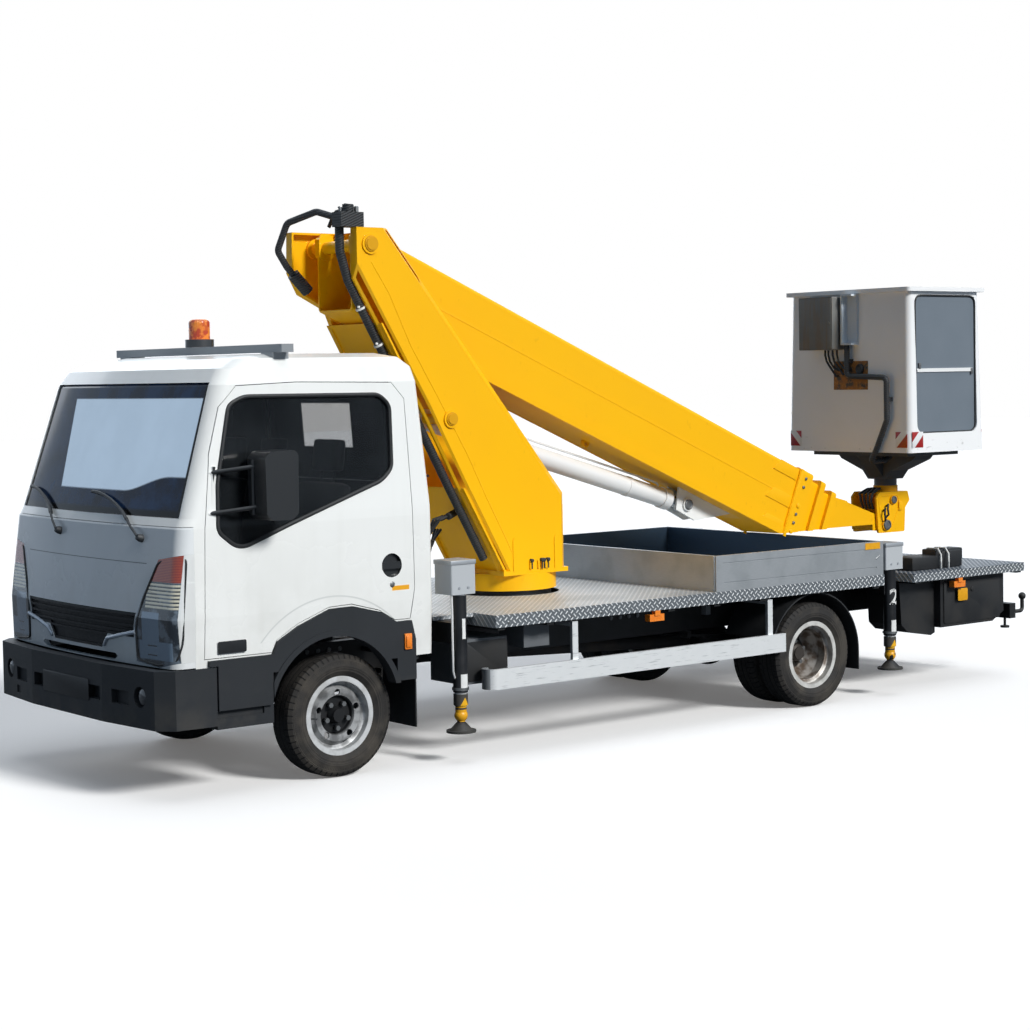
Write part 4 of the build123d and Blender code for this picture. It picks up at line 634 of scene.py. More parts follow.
WINDOW = ((2.90, 1.94), (2.81, 1.98), (2.00, 1.975), (1.938, 1.92), (1.945, 1.59), (2.01, 1.53),
          (2.55, 1.345), (2.84, 1.238), (2.90, 1.245), (2.995, 1.32), (2.985, 1.56))
mirror_glass = clouded("mirror_glass", "c9d2da", "b4bfc9", 3, 2, Metallic=1.0, Roughness=0.04)
blank_plate = clouded("blank_plate", "17181a", "222426", 40, 2, Roughness=0.4)
for side, name in SIDES:
    door = "door_" + name
    loop = []
    for p in rounded([(x, 0, z) for x, z in WINDOW], 0.035):
        loop.append((p.x, side * (SIDE_Y - max(p.z - SILL_Z, 0) * SIDE_LEAN - 0.002), p.z))
    Work().tube(loop + loop[:1], 0.011, 8).done("window_seal_" + name, door, "black_rubber", rubber_black)
    mirror = Work().sheet("x", 2.648, (side * 0.985, 1.40), (side * 1.125, 1.69), -0.004, 0.03, 0.0008)
    mirror.done("mirror_glass_" + name, door, "glass", mirror_glass)
    plate = Work().sheet("y", side * 0.9375, (2.85, 0.72), (3.01, 0.78), side * 0.003, 0.008, 0.0008)
    plate.done("door_plate_" + name, door, "dark_plastic", blank_plate)
    lock = Work().turned((HANDLE_X, side * 0.934, 0.985), (0, side, 0),
                         ((0, 0.016), (0.003, 0.0155), (0.0045, 0.013), (0.0045, 0)), 24)
    lock.done("door_lock_" + name, door, "steel", zinc)


# Glass: a laminated screen with a dark printed border, a pale mirror-like pane that is a painted
# reflection and a dark navy band round it that is painted shade; tinted door glass and a small clear rear
# window.
def glass_paint(name, tint, dusty):
    """Tinted glass with a faint film of dust."""
    finish = Finish(name, Specular_IOR_Level=0.25)
    film = finish.noise(4, 5).above(0.45, 0.25)
    return finish.set(Base_Color=finish.blend(tint, "8f989f", film * dusty), Roughness=0.04 + film * 0.06)


screen = glass_paint("screen_glass", "e6f0f8", 0.1)
ahead = screen.x.above(2.5)
half = 0.866 - (screen.z - 1.392) * 0.0636
rear_frame = 1 - screen.within((None, -0.26, 1.68), (None, 0.24, 1.925), 0.004)
# The pale pane is a painted reflection, pale and mirror-like so that it shows the bright sky; the rest of the
# screen is painted dark navy as painted shade, and is almost opaque.
painted_reflection_foot = 1.512 + screen.y.above(0.5, 0.2) * 0.075
painted_reflection_pane = (screen.z - painted_reflection_foot).above(0.0, 0.006) * (1 - screen.z.above(1.975, 0.004))
painted_reflection_pane = painted_reflection_pane * (screen.y + (screen.z - 1.5) * 0.22).above(-0.41, 0.006) * ahead
painted_shade_navy = screen.blend("081a36", "1b3d66", screen.noise(7, 5).above(0.5, 0.15))
screen.over(ahead * (1 - painted_reflection_pane), painted_shade_navy, 0.1)
border = ((abs(screen.y) - half).above(-0.03, 0.004) + (1 - screen.z.above(1.425, 0.01))).sum("MINIMUM", 1.0)
border = border * ahead + rear_frame * (1 - ahead)
screen.over(border, "0b0c0d", 0.12)
cover = 0.12 + ahead * 0.84
screen.set(Alpha=cover + (1 - cover) * border, Metallic=painted_reflection_pane * (1 - border) * 0.9)
dress(("cab_glass",), screen)
door_glass = glass_paint("door_glass", "101316", 0.06)
dress(("door_glass_left", "door_glass_right"), door_glass.set(Alpha=0.38 + door_glass.noise(4, 5) * 0.04))

# Wipers: two black arms on the scuttle, parked over the foot of the screen, each with its rubber blade.
skins = {}


def touch(names, start, towards):
    """Where a straight line first meets any of these CAD nodes, so that a piece can sit there."""
    hits = []
    for name in names.split():
        if name not in skins:
            mesh = nodes[name].data
            points = [v.co[:] for v in mesh.vertices]
            skins[name] = BVHTree.FromPolygons(points, [p.vertices[:] for p in mesh.polygons])
        hit = skins[name].ray_cast(Vector(start), Vector(towards).normalized())
        if hit[0]:
            hits.append((hit[3], hit[0]))
    return min(hits, key=lambda h: h[0])[1] if hits else None


for name, pivot_y, tip_y in (("left", 0.60, 0.02), ("right", -0.26, -0.80)):
    wiper = Work()
    pivot = touch("front_mask cab_shell", (4.0, pivot_y, 1.285), (-1, 0, 0)) - Vector((0.006, 0, 0))
    wiper.turned(pivot, (1, 0, 0.3), ((0, 0.021), (0.02, 0.02), (0.036, 0.014), (0.04, 0)), 20)
    reach = []
    for step in range(9):
        y = pivot_y + (tip_y - pivot_y) * step / 8
        z = 1.30 + 0.20 * math.sin(step / 8 * math.pi * 0.5)
        x = touch("cab_glass cab_shell front_mask", (4.0, y, z), (-1, 0, 0)).x
        reach.append(Vector((x + (0.022 if step else 0.03), y, z)))
    blade = reach[2:]
    wiper.tube(reach[:6], 0.0065, 8).tube(blade, 0.009, 6)
    for a, b in zip(blade, blade[1:]):
        wiper.plate([a + Vector((-0.002, 0, -0.002)), b + Vector((-0.002, 0, -0.002)),
                     b + Vector((-0.013, 0, -0.011)), a + Vector((-0.013, 0, -0.011))], (-0.003, 0, 0.002))
    wiper.done("wiper_" + name, "chassis", "dark_plastic", black_plastic)

# Headlamps: tall clear lenses over bright bowls and a dark bezel, the top part an amber-red
# indicator. They are clipped into the corners of the front mask.
lens = Finish("headlamp_lens", Coat_Weight=1.0, Coat_Roughness=0.03, Metallic=0.25)
out = abs(lens.y)
flutes = (out * 90).stripes(0.1, 0.9, 0.1)
bowls = (1 - lens.away(z=0.86).above(0.072, 0.004)) * out.between(0.655, 0.80, 0.004)
low_bowl = (1 - lens.away(z=0.745).above(0.045, 0.004)) * out.between(0.63, 0.90, 0.004)
steps = (lens.z * 55).sum("FRACT").above(0.45, 0.2) * lens.z.between(0.95, 1.075, 0.004) * out.above(0.68)
smoke = lens.noise(14, 5)
lens.set(Base_Color=lens.blend("262f38", "6f7b86", smoke.above(0.54, 0.08)), Roughness=0.12 + smoke * 0.2)
lens.over(steps, "e8dfc4", 0.1).over((bowls + low_bowl).sum("MINIMUM", 1.0), "8298ad", 0.08)
lens.over(lens.away(z=0.745).between(0.02, 0.026) * out.between(0.70, 0.78), "2b3038", 0.2)
amber = lens.z.above(1.083, 0.002)
lens.over(amber, "8e2412", 0.2).over(amber * (lens.z * 130).sum("FRACT").above(0.72, 0.1), "c4511f", 0.2)
lens.bump(flutes * (1 - amber) + smoke * 0.2, 0.3, 0.002)
dress(("headlamps",), lens.over(out.above(0.924, 0.001), "f1f3f1", 0.3))
LENS = ((0.93, 1.205), (0.76, 1.178), (0.662, 0.998), (0.606, 0.86), (0.612, 0.692), (0.80, 0.676),
        (0.915, 0.70), (0.93, 0.79))
for side, name in SIDES:
    on_lens = []
    for y, z in LENS:
        hit = touch("headlamps front_mask cab_shell", (4.2, side * y, z), (-1, 0, 0))
        if hit:
            on_lens.append((hit.x + 0.001, side * y, z))
    on_lens = rounded(on_lens, 0.03)
    seal = Work().tube(on_lens + on_lens[:1], 0.006, 6)
    seal.done("headlamp_seal_" + name, "chassis", "black_rubber", rubber_black)

# Grille and front trim: a black plastic grille with level slats, a silver bar along its foot, and a
# bumper, arch mouldings and steps in grained grey plastic. Fog lamps sit in round wells.
grained_grey = Finish("grained_grey", Specular_IOR_Level=0.3)
pebble = grained_grey.noise(900, 2)
mud = grained_grey.noise(7, 6).above(0.55, 0.12) * (1 - grained_grey.z.above(0.45, 0.2))
bleached = grained_grey.blend("1d2023", "2d3034", grained_grey.noise(3, 5))
grained_grey.set(Base_Color=grained_grey.blend(bleached, "4d4a45", mud * 0.5), Roughness=0.5 + pebble * 0.2)
grained_grey.bump(pebble, 0.35, 0.0008)
dress(("front_bumper", "arch_mouldings", "dashboard"), grained_grey)
grille_black = clouded("grille_black", "0e0f11", "1c1e21", 20, 3, (0.35, 0.3, 50, 2), Specular_IOR_Level=0.2)
dress(("grille",), grille_black)

bar_row = Pattern("bar_row", Count=5, Start=(0.0, 0.0, 0.0), Step=(0.0, 0.0, 0.02), Size=(0.01, 0.1, 0.004),
                  Turn=(0.0, 0.0, 0.0))
block = bar_row.node("GeometryNodeMeshCube", {}, {"Size": bar_row.size("Size")})
bar_row.repeat(block, bar_row.row(), grille_black, Rotation=bar_row.size("Turn"))
slats = Work()
for y in (-0.42, -0.14, 0.14, 0.42):
    front = touch("grille", (4.2, y, 0.88), (-1, 0, 0))
    tilt = math.copysign(0.02, -y) * abs(y) / 0.3
    slats.add(bar_row.mesh(Count=6, Start=(front.x - 0.022, y, 0.800), Step=(0.0, 0.0, 0.0195),
                           Size=(0.012, 0.30, 0.0045), Turn=(0.0, 0.25, tilt)))
slats.done("grille_slats", "chassis", "dark_plastic", grille_black)

silver_trim = clouded("silver_trim", "b7c0ca", "8f9aa8", 9, 4, (0.25, 0.15, 50, 3), Metallic=0.55)
UNDER = ((0.604, 0.842), (0.47, 0.818), (0.335, 0.79), (0.30, 0.755), (0.268, 0.716), (0.14, 0.712))
under = [(-y, z) for y, z in UNDER] + [(0, 0.711)] + list(reversed(UNDER))
line = []
for y, z in under:
    hit = touch("front_mask grille headlamps cab_shell", (4.2, y, z - 0.018), (-1, 0, 0))
    line.append(Vector((hit.x + 0.004, y, z - 0.016)))
Work().tube(line, 0.011, 10).done("grille_trim", "chassis", "rail_alu", silver_trim)

fog = clouded("fog_lens", "191c20", "343b44", 60, 2, Coat_Weight=1.0, Roughness=0.1)
fog.bump((fog.z * 160).stripes(0.2, 0.8, 0.1), 0.3, 0.001)
FOG_Y, FOG_Z = 0.735, 0.52
FOG_BULGE = ((0, 0.044), (0.008, 0.044), (0.014, 0.036), (0.018, 0.018), (0.019, 0))
for side, name in SIDES:
    well = touch("front_bumper", (4.2, side * FOG_Y, FOG_Z), (-1, 0, 0)) - Vector((0.001, 0, 0))
    Work().turned(well, (1, 0, 0), FOG_BULGE, 28).done("fog_lamp_" + name, "chassis", "lamp", fog)
flat = touch("front_bumper", (4.2, 0, 0.50), (-1, 0, 0))
plate = Work().sheet("x", flat.x + 0.001, (-0.26, 0.455), (0.26, 0.565), 0.004, 0.01, 0.001)
plate.done("front_plate", "chassis", "dark_plastic", blank_plate)

# Seats: foam cushions in dark cloth with sewn channels, on steel bases bolted to the cab floor; the
# driver's seat is wider than the two crew seats.
cloth = Finish("seat_cloth", Roughness=0.9, Sheen_Weight=0.3)
weave = (cloth.y * 420).stripes(0.15, 0.85, 0.15) * (cloth.z * 420 + cloth.x * 420).stripes(0.15, 0.85, 0.15)
fuzz = cloth.noise(60, 4)
cloth.set(Base_Color=cloth.blend("26282c", "3c4046", fuzz * 0.6 + weave * 0.4))
cloth.bump(weave + fuzz * 0.4, 0.5, 0.0012)
SEAT_DECK = 0.861
SEATS = (
    # name, y of the middle, width
    ("driver", 0.43, 0.47), ("middle", -0.13, 0.41), ("outer", -0.56, 0.39),
)


def cushion(name, low, high, lean, channels):
    """A crowned foam form whose sides pull in, with channels sewn across it."""
    work = Work()
    bmesh.ops.create_cube(work.mesh, size=2)
    bmesh.ops.subdivide_edges(work.mesh, edges=work.mesh.edges[:], cuts=19, use_grid_fill=True)
    middle = (Vector(low) + Vector(high)) / 2
    half = (Vector(high) - Vector(low)) / 2
    thin = min(range(3), key=lambda k: half[k])
    across = [k for k in range(3) if k != thin]
    for v in work.mesh.verts:
        u, w = v.co[across[0]], v.co[across[1]]
        crown = 1 - 0.34 * max(abs(u), abs(w)) ** 6
        groove = sum(math.exp(-((w - c) / 0.035) ** 2) for c in channels) * 0.16 * (1 - abs(u) ** 8)
        shape = Vector(v.co)
        shape[thin] *= crown - groove
        edge = 1 - 0.07 * abs(v.co[thin]) ** 4
        shape[across[0]] *= edge - 0.05 * (abs(w) ** 8)
        shape[across[1]] *= edge - 0.05 * (abs(u) ** 8)
        v.co = Vector([shape[k] * half[k] for k in range(3)])
    bmesh.ops.rotate(work.mesh, verts=work.mesh.verts, cent=(0, 0, 0), matrix=Matrix.Rotation(lean, 3, "Y"))
    bmesh.ops.translate(work.mesh, verts=work.mesh.verts, vec=middle)
    piece = work.done(name, "chassis", "seat_fabric", cloth, 60)
    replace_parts(piece, "seats")


CUSHIONS = (
    # name, x and height over the deck at both corners, half width, lean, channels
    ("seat_", 2.12, 2.64, 0.055, 0.155, 0.5, -0.06, (-0.5, 0.0, 0.5)),
    ("backrest_", 2.035, 2.135, 0.09, 0.65, 0.5, -0.14, (-0.4, 0.0, 0.4)),
    ("headrest_", 1.975, 2.05, 0.705, 0.875, 0.27, -0.12, ()),
)
for name, y, width in SEATS:
    for part, x0, x1, low, high, half, lean, channels in CUSHIONS:
        near, far = y - width * half, y + width * half
        cushion(part + name, (x0, near, SEAT_DECK + low), (x1, far, SEAT_DECK + high), lean, channels)
    side = width / 2
    base = Work().box((2.13, y - side + 0.03, SEAT_DECK), (2.62, y + side - 0.03, SEAT_DECK + 0.062), 0.012)
    for stem in (-0.06, 0.06):
        base.rod((2.035, y + stem, SEAT_DECK + 0.60), (2.01, y + stem, SEAT_DECK + 0.73), 0.006, 10)
    for edge in (-side + 0.02, side - 0.02):
        outline = ((2.06, 0), (2.16, 0), (2.15, 0.13), (2.07, 0.16))
        base.plate([(x, y + edge, SEAT_DECK + up) for x, up in outline], (0, 0.006, 0))
    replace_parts(base.done("seat_base_" + name, "chassis", "dark_plastic", black_plastic), "seats")

# Beacon: an amber flashing lamp with a fluted lens on a black foot, on an aluminium bar across the roof.
amber_lamp = Finish("beacon_amber", Coat_Weight=0.7)
on_bar = 1 - amber_lamp.z.above(2.2402, 0.0004)
on_foot = amber_lamp.z.between(2.2402, 2.2815, 0.0004)
glow = amber_lamp.noise(30, 3)
amber = amber_lamp.blend("b83c0a", "ef8a22", glow.above(0.5, 0.12))
amber_lamp.set(Base_Color=amber, Roughness=0.2 + glow * 0.15)
amber_lamp.over(on_foot, "1d1f21", 0.5).over(on_bar, "8d9296", 0.42)
turn = (amber_lamp.x - 2.54).sum("ARCTAN2", amber_lamp.y) * (40 / (2 * math.pi))
amber_lamp.bump(turn.stripes(0.2, 0.8, 0.15) * (1 - on_bar - on_foot), 0.4, 0.003)
dress(("roof_beacon",), amber_lamp)

# Lamps: amber side markers and red tail clusters behind plain lenses, on rubber-sealed bases.
lamp_lens = clouded("lamp_lens", "f0740f", "ff9a2e", 40, 3, (0.2, 0.15), Coat_Weight=0.8)
tail = 1 - lamp_lens.x.above(-3.0)
lamp_lens.over(tail, "a5180f", 0.2).over(tail * abs(lamp_lens.y).between(0.628, 0.655), "e8892a", 0.2)
lamp_lens.over(tail * abs(lamp_lens.y).between(0.60, 0.628), "d9dcdd", 0.2)
lamp_lens.bump((lamp_lens.x * 160).stripes(0.2, 0.8, 0.15), 0.3, 0.0015)
dress(("lamps",), lamp_lens)
for side, name in SIDES:
    wall = touch("arch_mouldings cab_shell", (1.885, side * 1.3, 0.69), (0, -side, 0)).y
    marker = Work().box((1.862, wall - side * 0.001, 0.64), (1.908, wall + side * 0.012, 0.724), 0.005)
    marker.box((1.868, wall + side * 0.01, 0.652), (1.902, wall + side * 0.019, 0.712), 0.004)
    marker.done("arch_marker_" + name, "chassis", "lamp", lamp_lens)


# Deck: chequer plate folded down along its edges and riveted to the subframe, worn and stained on top;
# its folded edges are painted darker and the rear deck's top dark blue-grey, as painted shade. The tray
# stands on it: four aluminium boards in corner posts, with latches at the rear, their inner faces painted
# dark blue-grey as painted shade.
chequer = Finish("chequer_plate", Metallic=0.25, Specular_IOR_Level=0.2)
u = (chequer.x + chequer.y + chequer.z) * 26
v = (chequer.x - chequer.y - chequer.z) * 26
across_u, across_v = u.stripes(0.36, 0.64, 0.07), v.stripes(0.36, 0.64, 0.07)
swap = ((u.sum("FLOOR") + v.sum("FLOOR")) * 0.5).sum("FRACT").above(0.25, 0.01)
lozenge = u.stripes(0.1, 0.9, 0.05) * across_v * (1 - swap) + v.stripes(0.1, 0.9, 0.05) * across_u * swap
tread_wear = chequer.noise(4, 6)
plate_tone = chequer.blend(chequer.blend("9ba1a5", "bcc1c4", tread_wear), "f4f6f7", lozenge * 0.8)
stain = chequer.noise(1.7, 5).above(0.58, 0.1) * chequer.z.above(0.75)
chequer.set(Base_Color=chequer.blend(plate_tone, "5b5c5c", stain * 0.3), Roughness=0.34 + tread_wear * 0.3)
chequer.bump(lozenge, 0.9, 0.004)
# The folded edges are painted darker, and the top of the rear deck dark blue-grey, as painted shade.
folded_edge_painted_shade = abs(chequer.y).above(0.996) * (1 - lozenge)
tail_top_painted_shade = chequer.z.above(0.7535) * (1 - chequer.x.above(-1.95)) * (1 - lozenge * 0.8)
dress(("deck_plates",), chequer.over(folded_edge_painted_shade, "6c7277", 0.5).over(tail_top_painted_shade, "39434f", 0.45))

board_alu = Finish("board_aluminium", Metallic=0.7)
brushed = board_alu.noise(30, 4, (1, 1, 14))
handling = board_alu.noise(5, 6)
rolled = board_alu.blend("a2a6a8", "bbbec0", brushed)
board_alu.set(Base_Color=board_alu.blend(rolled, "868b8e", handling.above(0.56, 0.14) * 0.4),
              Roughness=0.36 + brushed * 0.14 + handling * 0.1)
# The boards' inner faces are painted dark blue-grey as painted shade inside the tray.
inside_tray_painted_shade = board_alu.within((-1.7055, -0.9755, 0.775), (-0.3145, 0.9755, None), 0.0004)
board_alu.over(inside_tray_painted_shade, "3c4f63", 0.45)
board_alu.bump(brushed + (board_alu.z * 20).stripes(0.05, 0.12, 0.02) * 0.3, 0.12, 0.001)
dress(("tray_boards",), board_alu)

rail_white = Finish("rail_white", Metallic=0.35)
rail_cloud = rail_white.noise(12, 5)
scratches = rail_white.noise(40, 3, (0.2, 1, 3)).above(0.63, 0.05)
painted = rail_white.blend("f7f9f9", "e6e9e9", rail_cloud)
rail_white.set(Base_Color=rail_white.blend(painted, "a9adaf", scratches * 0.6),
               Roughness=0.32 + rail_cloud * 0.15)
post = 1 - abs(rail_white.y).above(0.9775)
dress(("side_guards",), rail_white.over(post, "9ca0a3", 0.5))
dress(("mudguards",), rubber_black)

trim = Work()
for side in (1, -1):
    for x in (-0.30, -1.722):
        trim.box((x - 0.016, side * 0.972, 0.776), (x + 0.016, side * 0.9885, 0.984), 0.003)
    for k in range(3):
        x = -0.42 - k * 0.55
        trim.box((x - 0.045, side * 0.984, 0.766), (x + 0.045, side * 0.992, 0.79), 0.002)
        trim.rod((x - 0.05, side * 0.989, 0.778), (x + 0.05, side * 0.989, 0.778), 0.006, 10)
trim.done("board_hinges", "chassis", "rail_alu", board_alu)
latches = Work()
for side in (1, -1):
    latches.box((-1.72, side * 0.984, 0.86), (-1.685, side * 0.996, 0.93), 0.003)
    latches.rod((-1.70, side * 0.996, 0.90), (-1.66, side * 0.997, 0.875), 0.005, 8, 0.002)
latches.done("board_latches", "chassis", "steel", zinc)
yellow_tape = clouded("yellow_tape", "f3b21b", "d9970f", 50, 3, (), (90, 0.1, 0.0005), Roughness=0.35)
board_y = touch("tray_boards", (-1.62, 1.3, 0.96), (0, -1, 0)).y
marker = Work().sheet("y", board_y + 0.0003, (-1.565, 0.940), (-1.70, 0.980), 0.0012)
marker.done("board_marker", "chassis", "yellow", yellow_tape)
rivets = Work()
for side in (1, -1):
    rivets.add(bolt_row.mesh(Count=14, Start=(1.25, side * 1.0015, 0.727), Step=(-0.22, 0.0, 0.0),
                             Turn=FLAT_ON_SIDE, Radius=0.005, Height=0.003))
rivets.done("deck_rivets", "chassis", "steel", zinc)

# Boxes under the deck: a grey tool box, a fuel tank with strap bands, an oil box, and black lockers
# at the tail. Lids have a folded edge and a key lock.
box_grey = clouded("box_grey_paint", "54585c", "6c7074", 6, 5, (0.45, 0.2), (160, 0.12, 0.0008))
dress(("side_boxes",), box_grey)
locker_black = black_paint("locker_black", "0e0f11", "262421", 0.5)
dress(("rear_lockers",), locker_black)
bands = Work()
for x in (0.10, 0.52):
    for z0, z1 in ((0.345, 0.352), (0.657, 0.664)):
        bands.box((x - 0.02, -0.882, z0), (x + 0.02, -0.52, z1), 0.001)
    bands.box((x - 0.02, -0.887, 0.345), (x + 0.02, -0.879, 0.664), 0.001)
CAP = ((0, 0.032), (0.012, 0.034), (0.02, 0.03), (0.024, 0.012), (0.024, 0))
bands.turned((0.60, -0.88, 0.58), (0, -1, 0), CAP, 24)
bands.done("tank_bands", "chassis", "steel", zinc)
lids = Work()
KEY_LOCK = ((0, 0.017), (0.006, 0.016), (0.008, 0.01), (0.006, 0.0))
for side in (1, -1):
    lids.sheet("y", side * 0.931, (-2.94, 0.40), (-2.38, 0.67), side * 0.005, 0.015, 0.002)
    lids.turned((-2.66, side * 0.935, 0.61), (0, side, 0), KEY_LOCK, 20)
lids.sheet("y", 0.8605, (1.16, 0.41), (1.45, 0.625), 0.005, 0.015, 0.002)
lids.done("locker_lids", "chassis", "dark_plastic", locker_black)
tail_tag = Work().sheet("y", 0.956, (-2.49, 0.545), (-2.585, 0.625), 0.004, 0.01, 0.001)
tail_tag.rod((-2.50, 0.958, 0.62), (-2.50, 0.956, 0.66), 0.003, 6)
tail_tag.done("tail_reflector", "chassis", "yellow", yellow_tape)

# Valve box on the rear deck: a small black cover with two white hoses looped over it.
valve_box = Work()
valve_box.box((-2.42, 0.70, 0.7575), (-2.14, 0.88, 0.842), 0.008)
valve_box.box((-2.64, 0.71, 0.7575), (-2.44, 0.87, 0.868), 0.01)
valve_box.box((-2.67, 0.73, 0.80), (-2.40, 0.85, 0.879), 0.012)
valve_box.done("valve_box", "chassis", "dark_plastic", locker_black)
white_hose = clouded("white_hose", "e9eae8", "bfc2c0", 40, 3, (), (300, 0.15, 0.0004), Roughness=0.5)
for k, x in enumerate((-2.40, -2.475)):
    loop = [(x, 0.895, 0.762), (x + 0.01, 0.905, 0.80), (x, 0.895, 0.85), (x - 0.012, 0.86, 0.8855),
            (x - 0.02, 0.80, 0.8845), (x - 0.02, 0.76, 0.883)]
    Work().tube(loop, 0.006, 10).done("valve_hose_%d" % (k + 1), "chassis", "rail_alu", white_hose)

# Outriggers: black tubes bolted to the frame, each under a silver cover box, with a black leg that
# slides down to a round foot. The tubes carry plain white numbers, and the knuckles a yellow cap.
FRONT_LEG_X, REAR_LEG_X, LEG_Y = 1.55, -1.835, 0.955
TUBE_RADIUS = 0.04
LABEL_IN, LABEL_OUT = 0.0402, 0.0412
LABEL = ((LABEL_IN, 0.39), (LABEL_IN, 0.478), (LABEL_OUT, 0.478), (LABEL_OUT, 0.39))
tube_black = black_paint("tube_black", "0c0d10", "26272b", 0.35)
out = abs(tube_black.y).above(0.83)
front_box = tube_black.within((1.4, None, 0.8995), (1.7, None, None))
rear_box = tube_black.within((None, None, 0.7995), (-1.6, None, None))
tube_black.over((front_box + rear_box) * out, "b9bec2", 0.42)
dress(("outrigger_sleeves",), tube_black)
leg_paint = black_paint("leg_paint", "1a1b1d", "57524a", 0.4)
leg_paint.over(leg_paint.z.between(0.372, 0.47, 0.001), "dfe1e2", 0.3)
ball = leg_paint.z.between(0.222, 0.288, 0.001)
leg_paint.over(ball * leg_paint.noise(18, 3).above(0.42, 0.02), "e9a91a", 0.4)
leg_paint.over(1 - leg_paint.z.above(0.179), "3a3936", 0.7)
off_axis = abs(leg_paint.x - FRONT_LEG_X).sum("MINIMUM", abs(leg_paint.x - REAR_LEG_X))
sign = (0.354 - leg_paint.z - off_axis * 1.7).above(0.0, 0.001) * leg_paint.z.above(0.298)
leg_paint.over(sign, "f0b41c", 0.4)
dress(("leg_front_left", "leg_front_right", "leg_rear_left", "leg_rear_right"), leg_paint)
white_paint = clouded("white_paint", "f4f5f4", "d9dbda", 60, 3, (), (200, 0.05, 0.0004), Roughness=0.4)


def number_on_tube(text, name, x, y, z, height, radius):
    """A plain number laid round an upright tube, a hair proud of it."""
    curve = bpy.data.curves.new(name, "FONT")
    curve.body, curve.size, curve.offset = text, height / 0.73, 0.003
    curve.align_x = "CENTER"
    holder = bpy.data.objects.new(name, curve)
    bpy.context.scene.collection.objects.link(holder)
    flat = bpy.data.meshes.new_from_object(holder.evaluated_get(bpy.context.evaluated_depsgraph_get()))
    bpy.data.objects.remove(holder)
    work = Work().add(flat)
    bmesh.ops.subdivide_edges(work.mesh, edges=work.mesh.edges[:], cuts=2)
    grown = bmesh.ops.extrude_face_region(work.mesh, geom=work.mesh.faces[:])["geom"]
    front = {v for v in grown if isinstance(v, bmesh.types.BMVert)}
    side = math.copysign(1, y)
    for v in work.mesh.verts:
        turn = -side * v.co.x / radius
        away = radius + (0.0012 if v in front else 0.0002)
        v.co = Vector((x + away * math.sin(turn), y + side * away * math.cos(turn), z + v.co.y))
    return work.done(name, "chassis", "rail_alu", white_paint)


NUMBERS = (
    # number, its name, leg's x, side, height of its foot, height of the figure
    ("1", "one", FRONT_LEG_X, 1, 0.67, 0.11), ("2", "two", REAR_LEG_X, 1, 0.58, 0.10),
    ("3", "three", REAR_LEG_X, -1, 0.58, 0.10), ("4", "four", FRONT_LEG_X, -1, 0.67, 0.11),
)
for text, name, x, side, z, height in NUMBERS:
    number_on_tube(text, "number_" + name, x, side * LEG_Y, z, height, TUBE_RADIUS)
for side, name in SIDES:
    for x, place in ((FRONT_LEG_X, "front"), (REAR_LEG_X, "rear")):
        wrap = Work()
        arc = [math.radians(a) for a in range(-32, 33, 8)]
        rings = [[(x + r * math.sin(a), side * (LEG_Y + r * math.cos(a)), z) for a in arc] for r, z in LABEL]
        wrap.skin([[wrap.mesh.verts.new(Vector(ring[k])) for ring in rings] for k in range(len(arc))])
        wrap.done("leg_label_%s_%s" % (place, name), "chassis", "rail_alu", white_paint)
cover_silver = clouded("cover_silver", "b9bec2", "a3a8ad", 18, 4, (0.35, 0.15), (260, 0.06, 0.0005),
                       Metallic=0.5)
COLLAR = ((0, LABEL_IN), (0, 0.046), (0.014, 0.046), (0.014, LABEL_IN))
box_trim, collars = Work(), Work()
for x, low, high in ((FRONT_LEG_X, 0.905, 1.085), (REAR_LEG_X, 0.80, 0.965)):
    for side in (1, -1):
        box_trim.box((x - 0.083, side * 0.842, high - 0.022), (x + 0.083, side * 1.003, high + 0.003), 0.004)
        box_trim.add(bolt_row.mesh(Count=2, Start=(x - 0.03, side * 1.001, low + 0.035),
                                   Step=(0.06, 0.0, 0.0), Turn=FLAT_ON_SIDE, Radius=0.006, Height=0.005))
        collars.turned((x, side * LEG_Y, 0.392), (0, 0, 1), COLLAR, 28)
box_trim.done("outrigger_box_lids", "chassis", "box_grey", cover_silver)
collars.done("outrigger_collars", "chassis", "steel", zinc)
side_pipe = Work().tube([(1.62, 0.985, 0.9045), (1.622, 0.99, 0.80), (1.622, 0.99, 0.58), (1.615, 0.98, 0.50),
                         (1.592, 0.962, 0.46)], 0.006, 10)
side_pipe.done("leg_pipe", "chassis", "rail_alu", white_paint)


# Turret: folded steel side plates welded to cross webs on the slewing collar, in yellow enamel. A
# folded rib runs down each plate, and the boom's and cylinder's pins end in round bosses.
def machine_yellow(name, deep=0.35):
    """Yellow enamel with a slow change of tone and fine darker rub marks, stronger as deep grows."""
    finish = Finish(name, Coat_Weight=0.1, Coat_Roughness=0.1, Specular_IOR_Level=0.25)
    cloud = finish.noise(2.2, 5)
    rub = finish.noise(34, 5, (1, 1, 0.5)).above(0.7, 0.05)
    tone = finish.blend("ffc004", "fab803", cloud)
    finish.set(Base_Color=finish.blend(tone, "c88a08", rub * deep * 0.5), Roughness=0.33 + cloud * 0.12)
    return finish.bump(finish.noise(200, 2), 0.04, 0.0008)


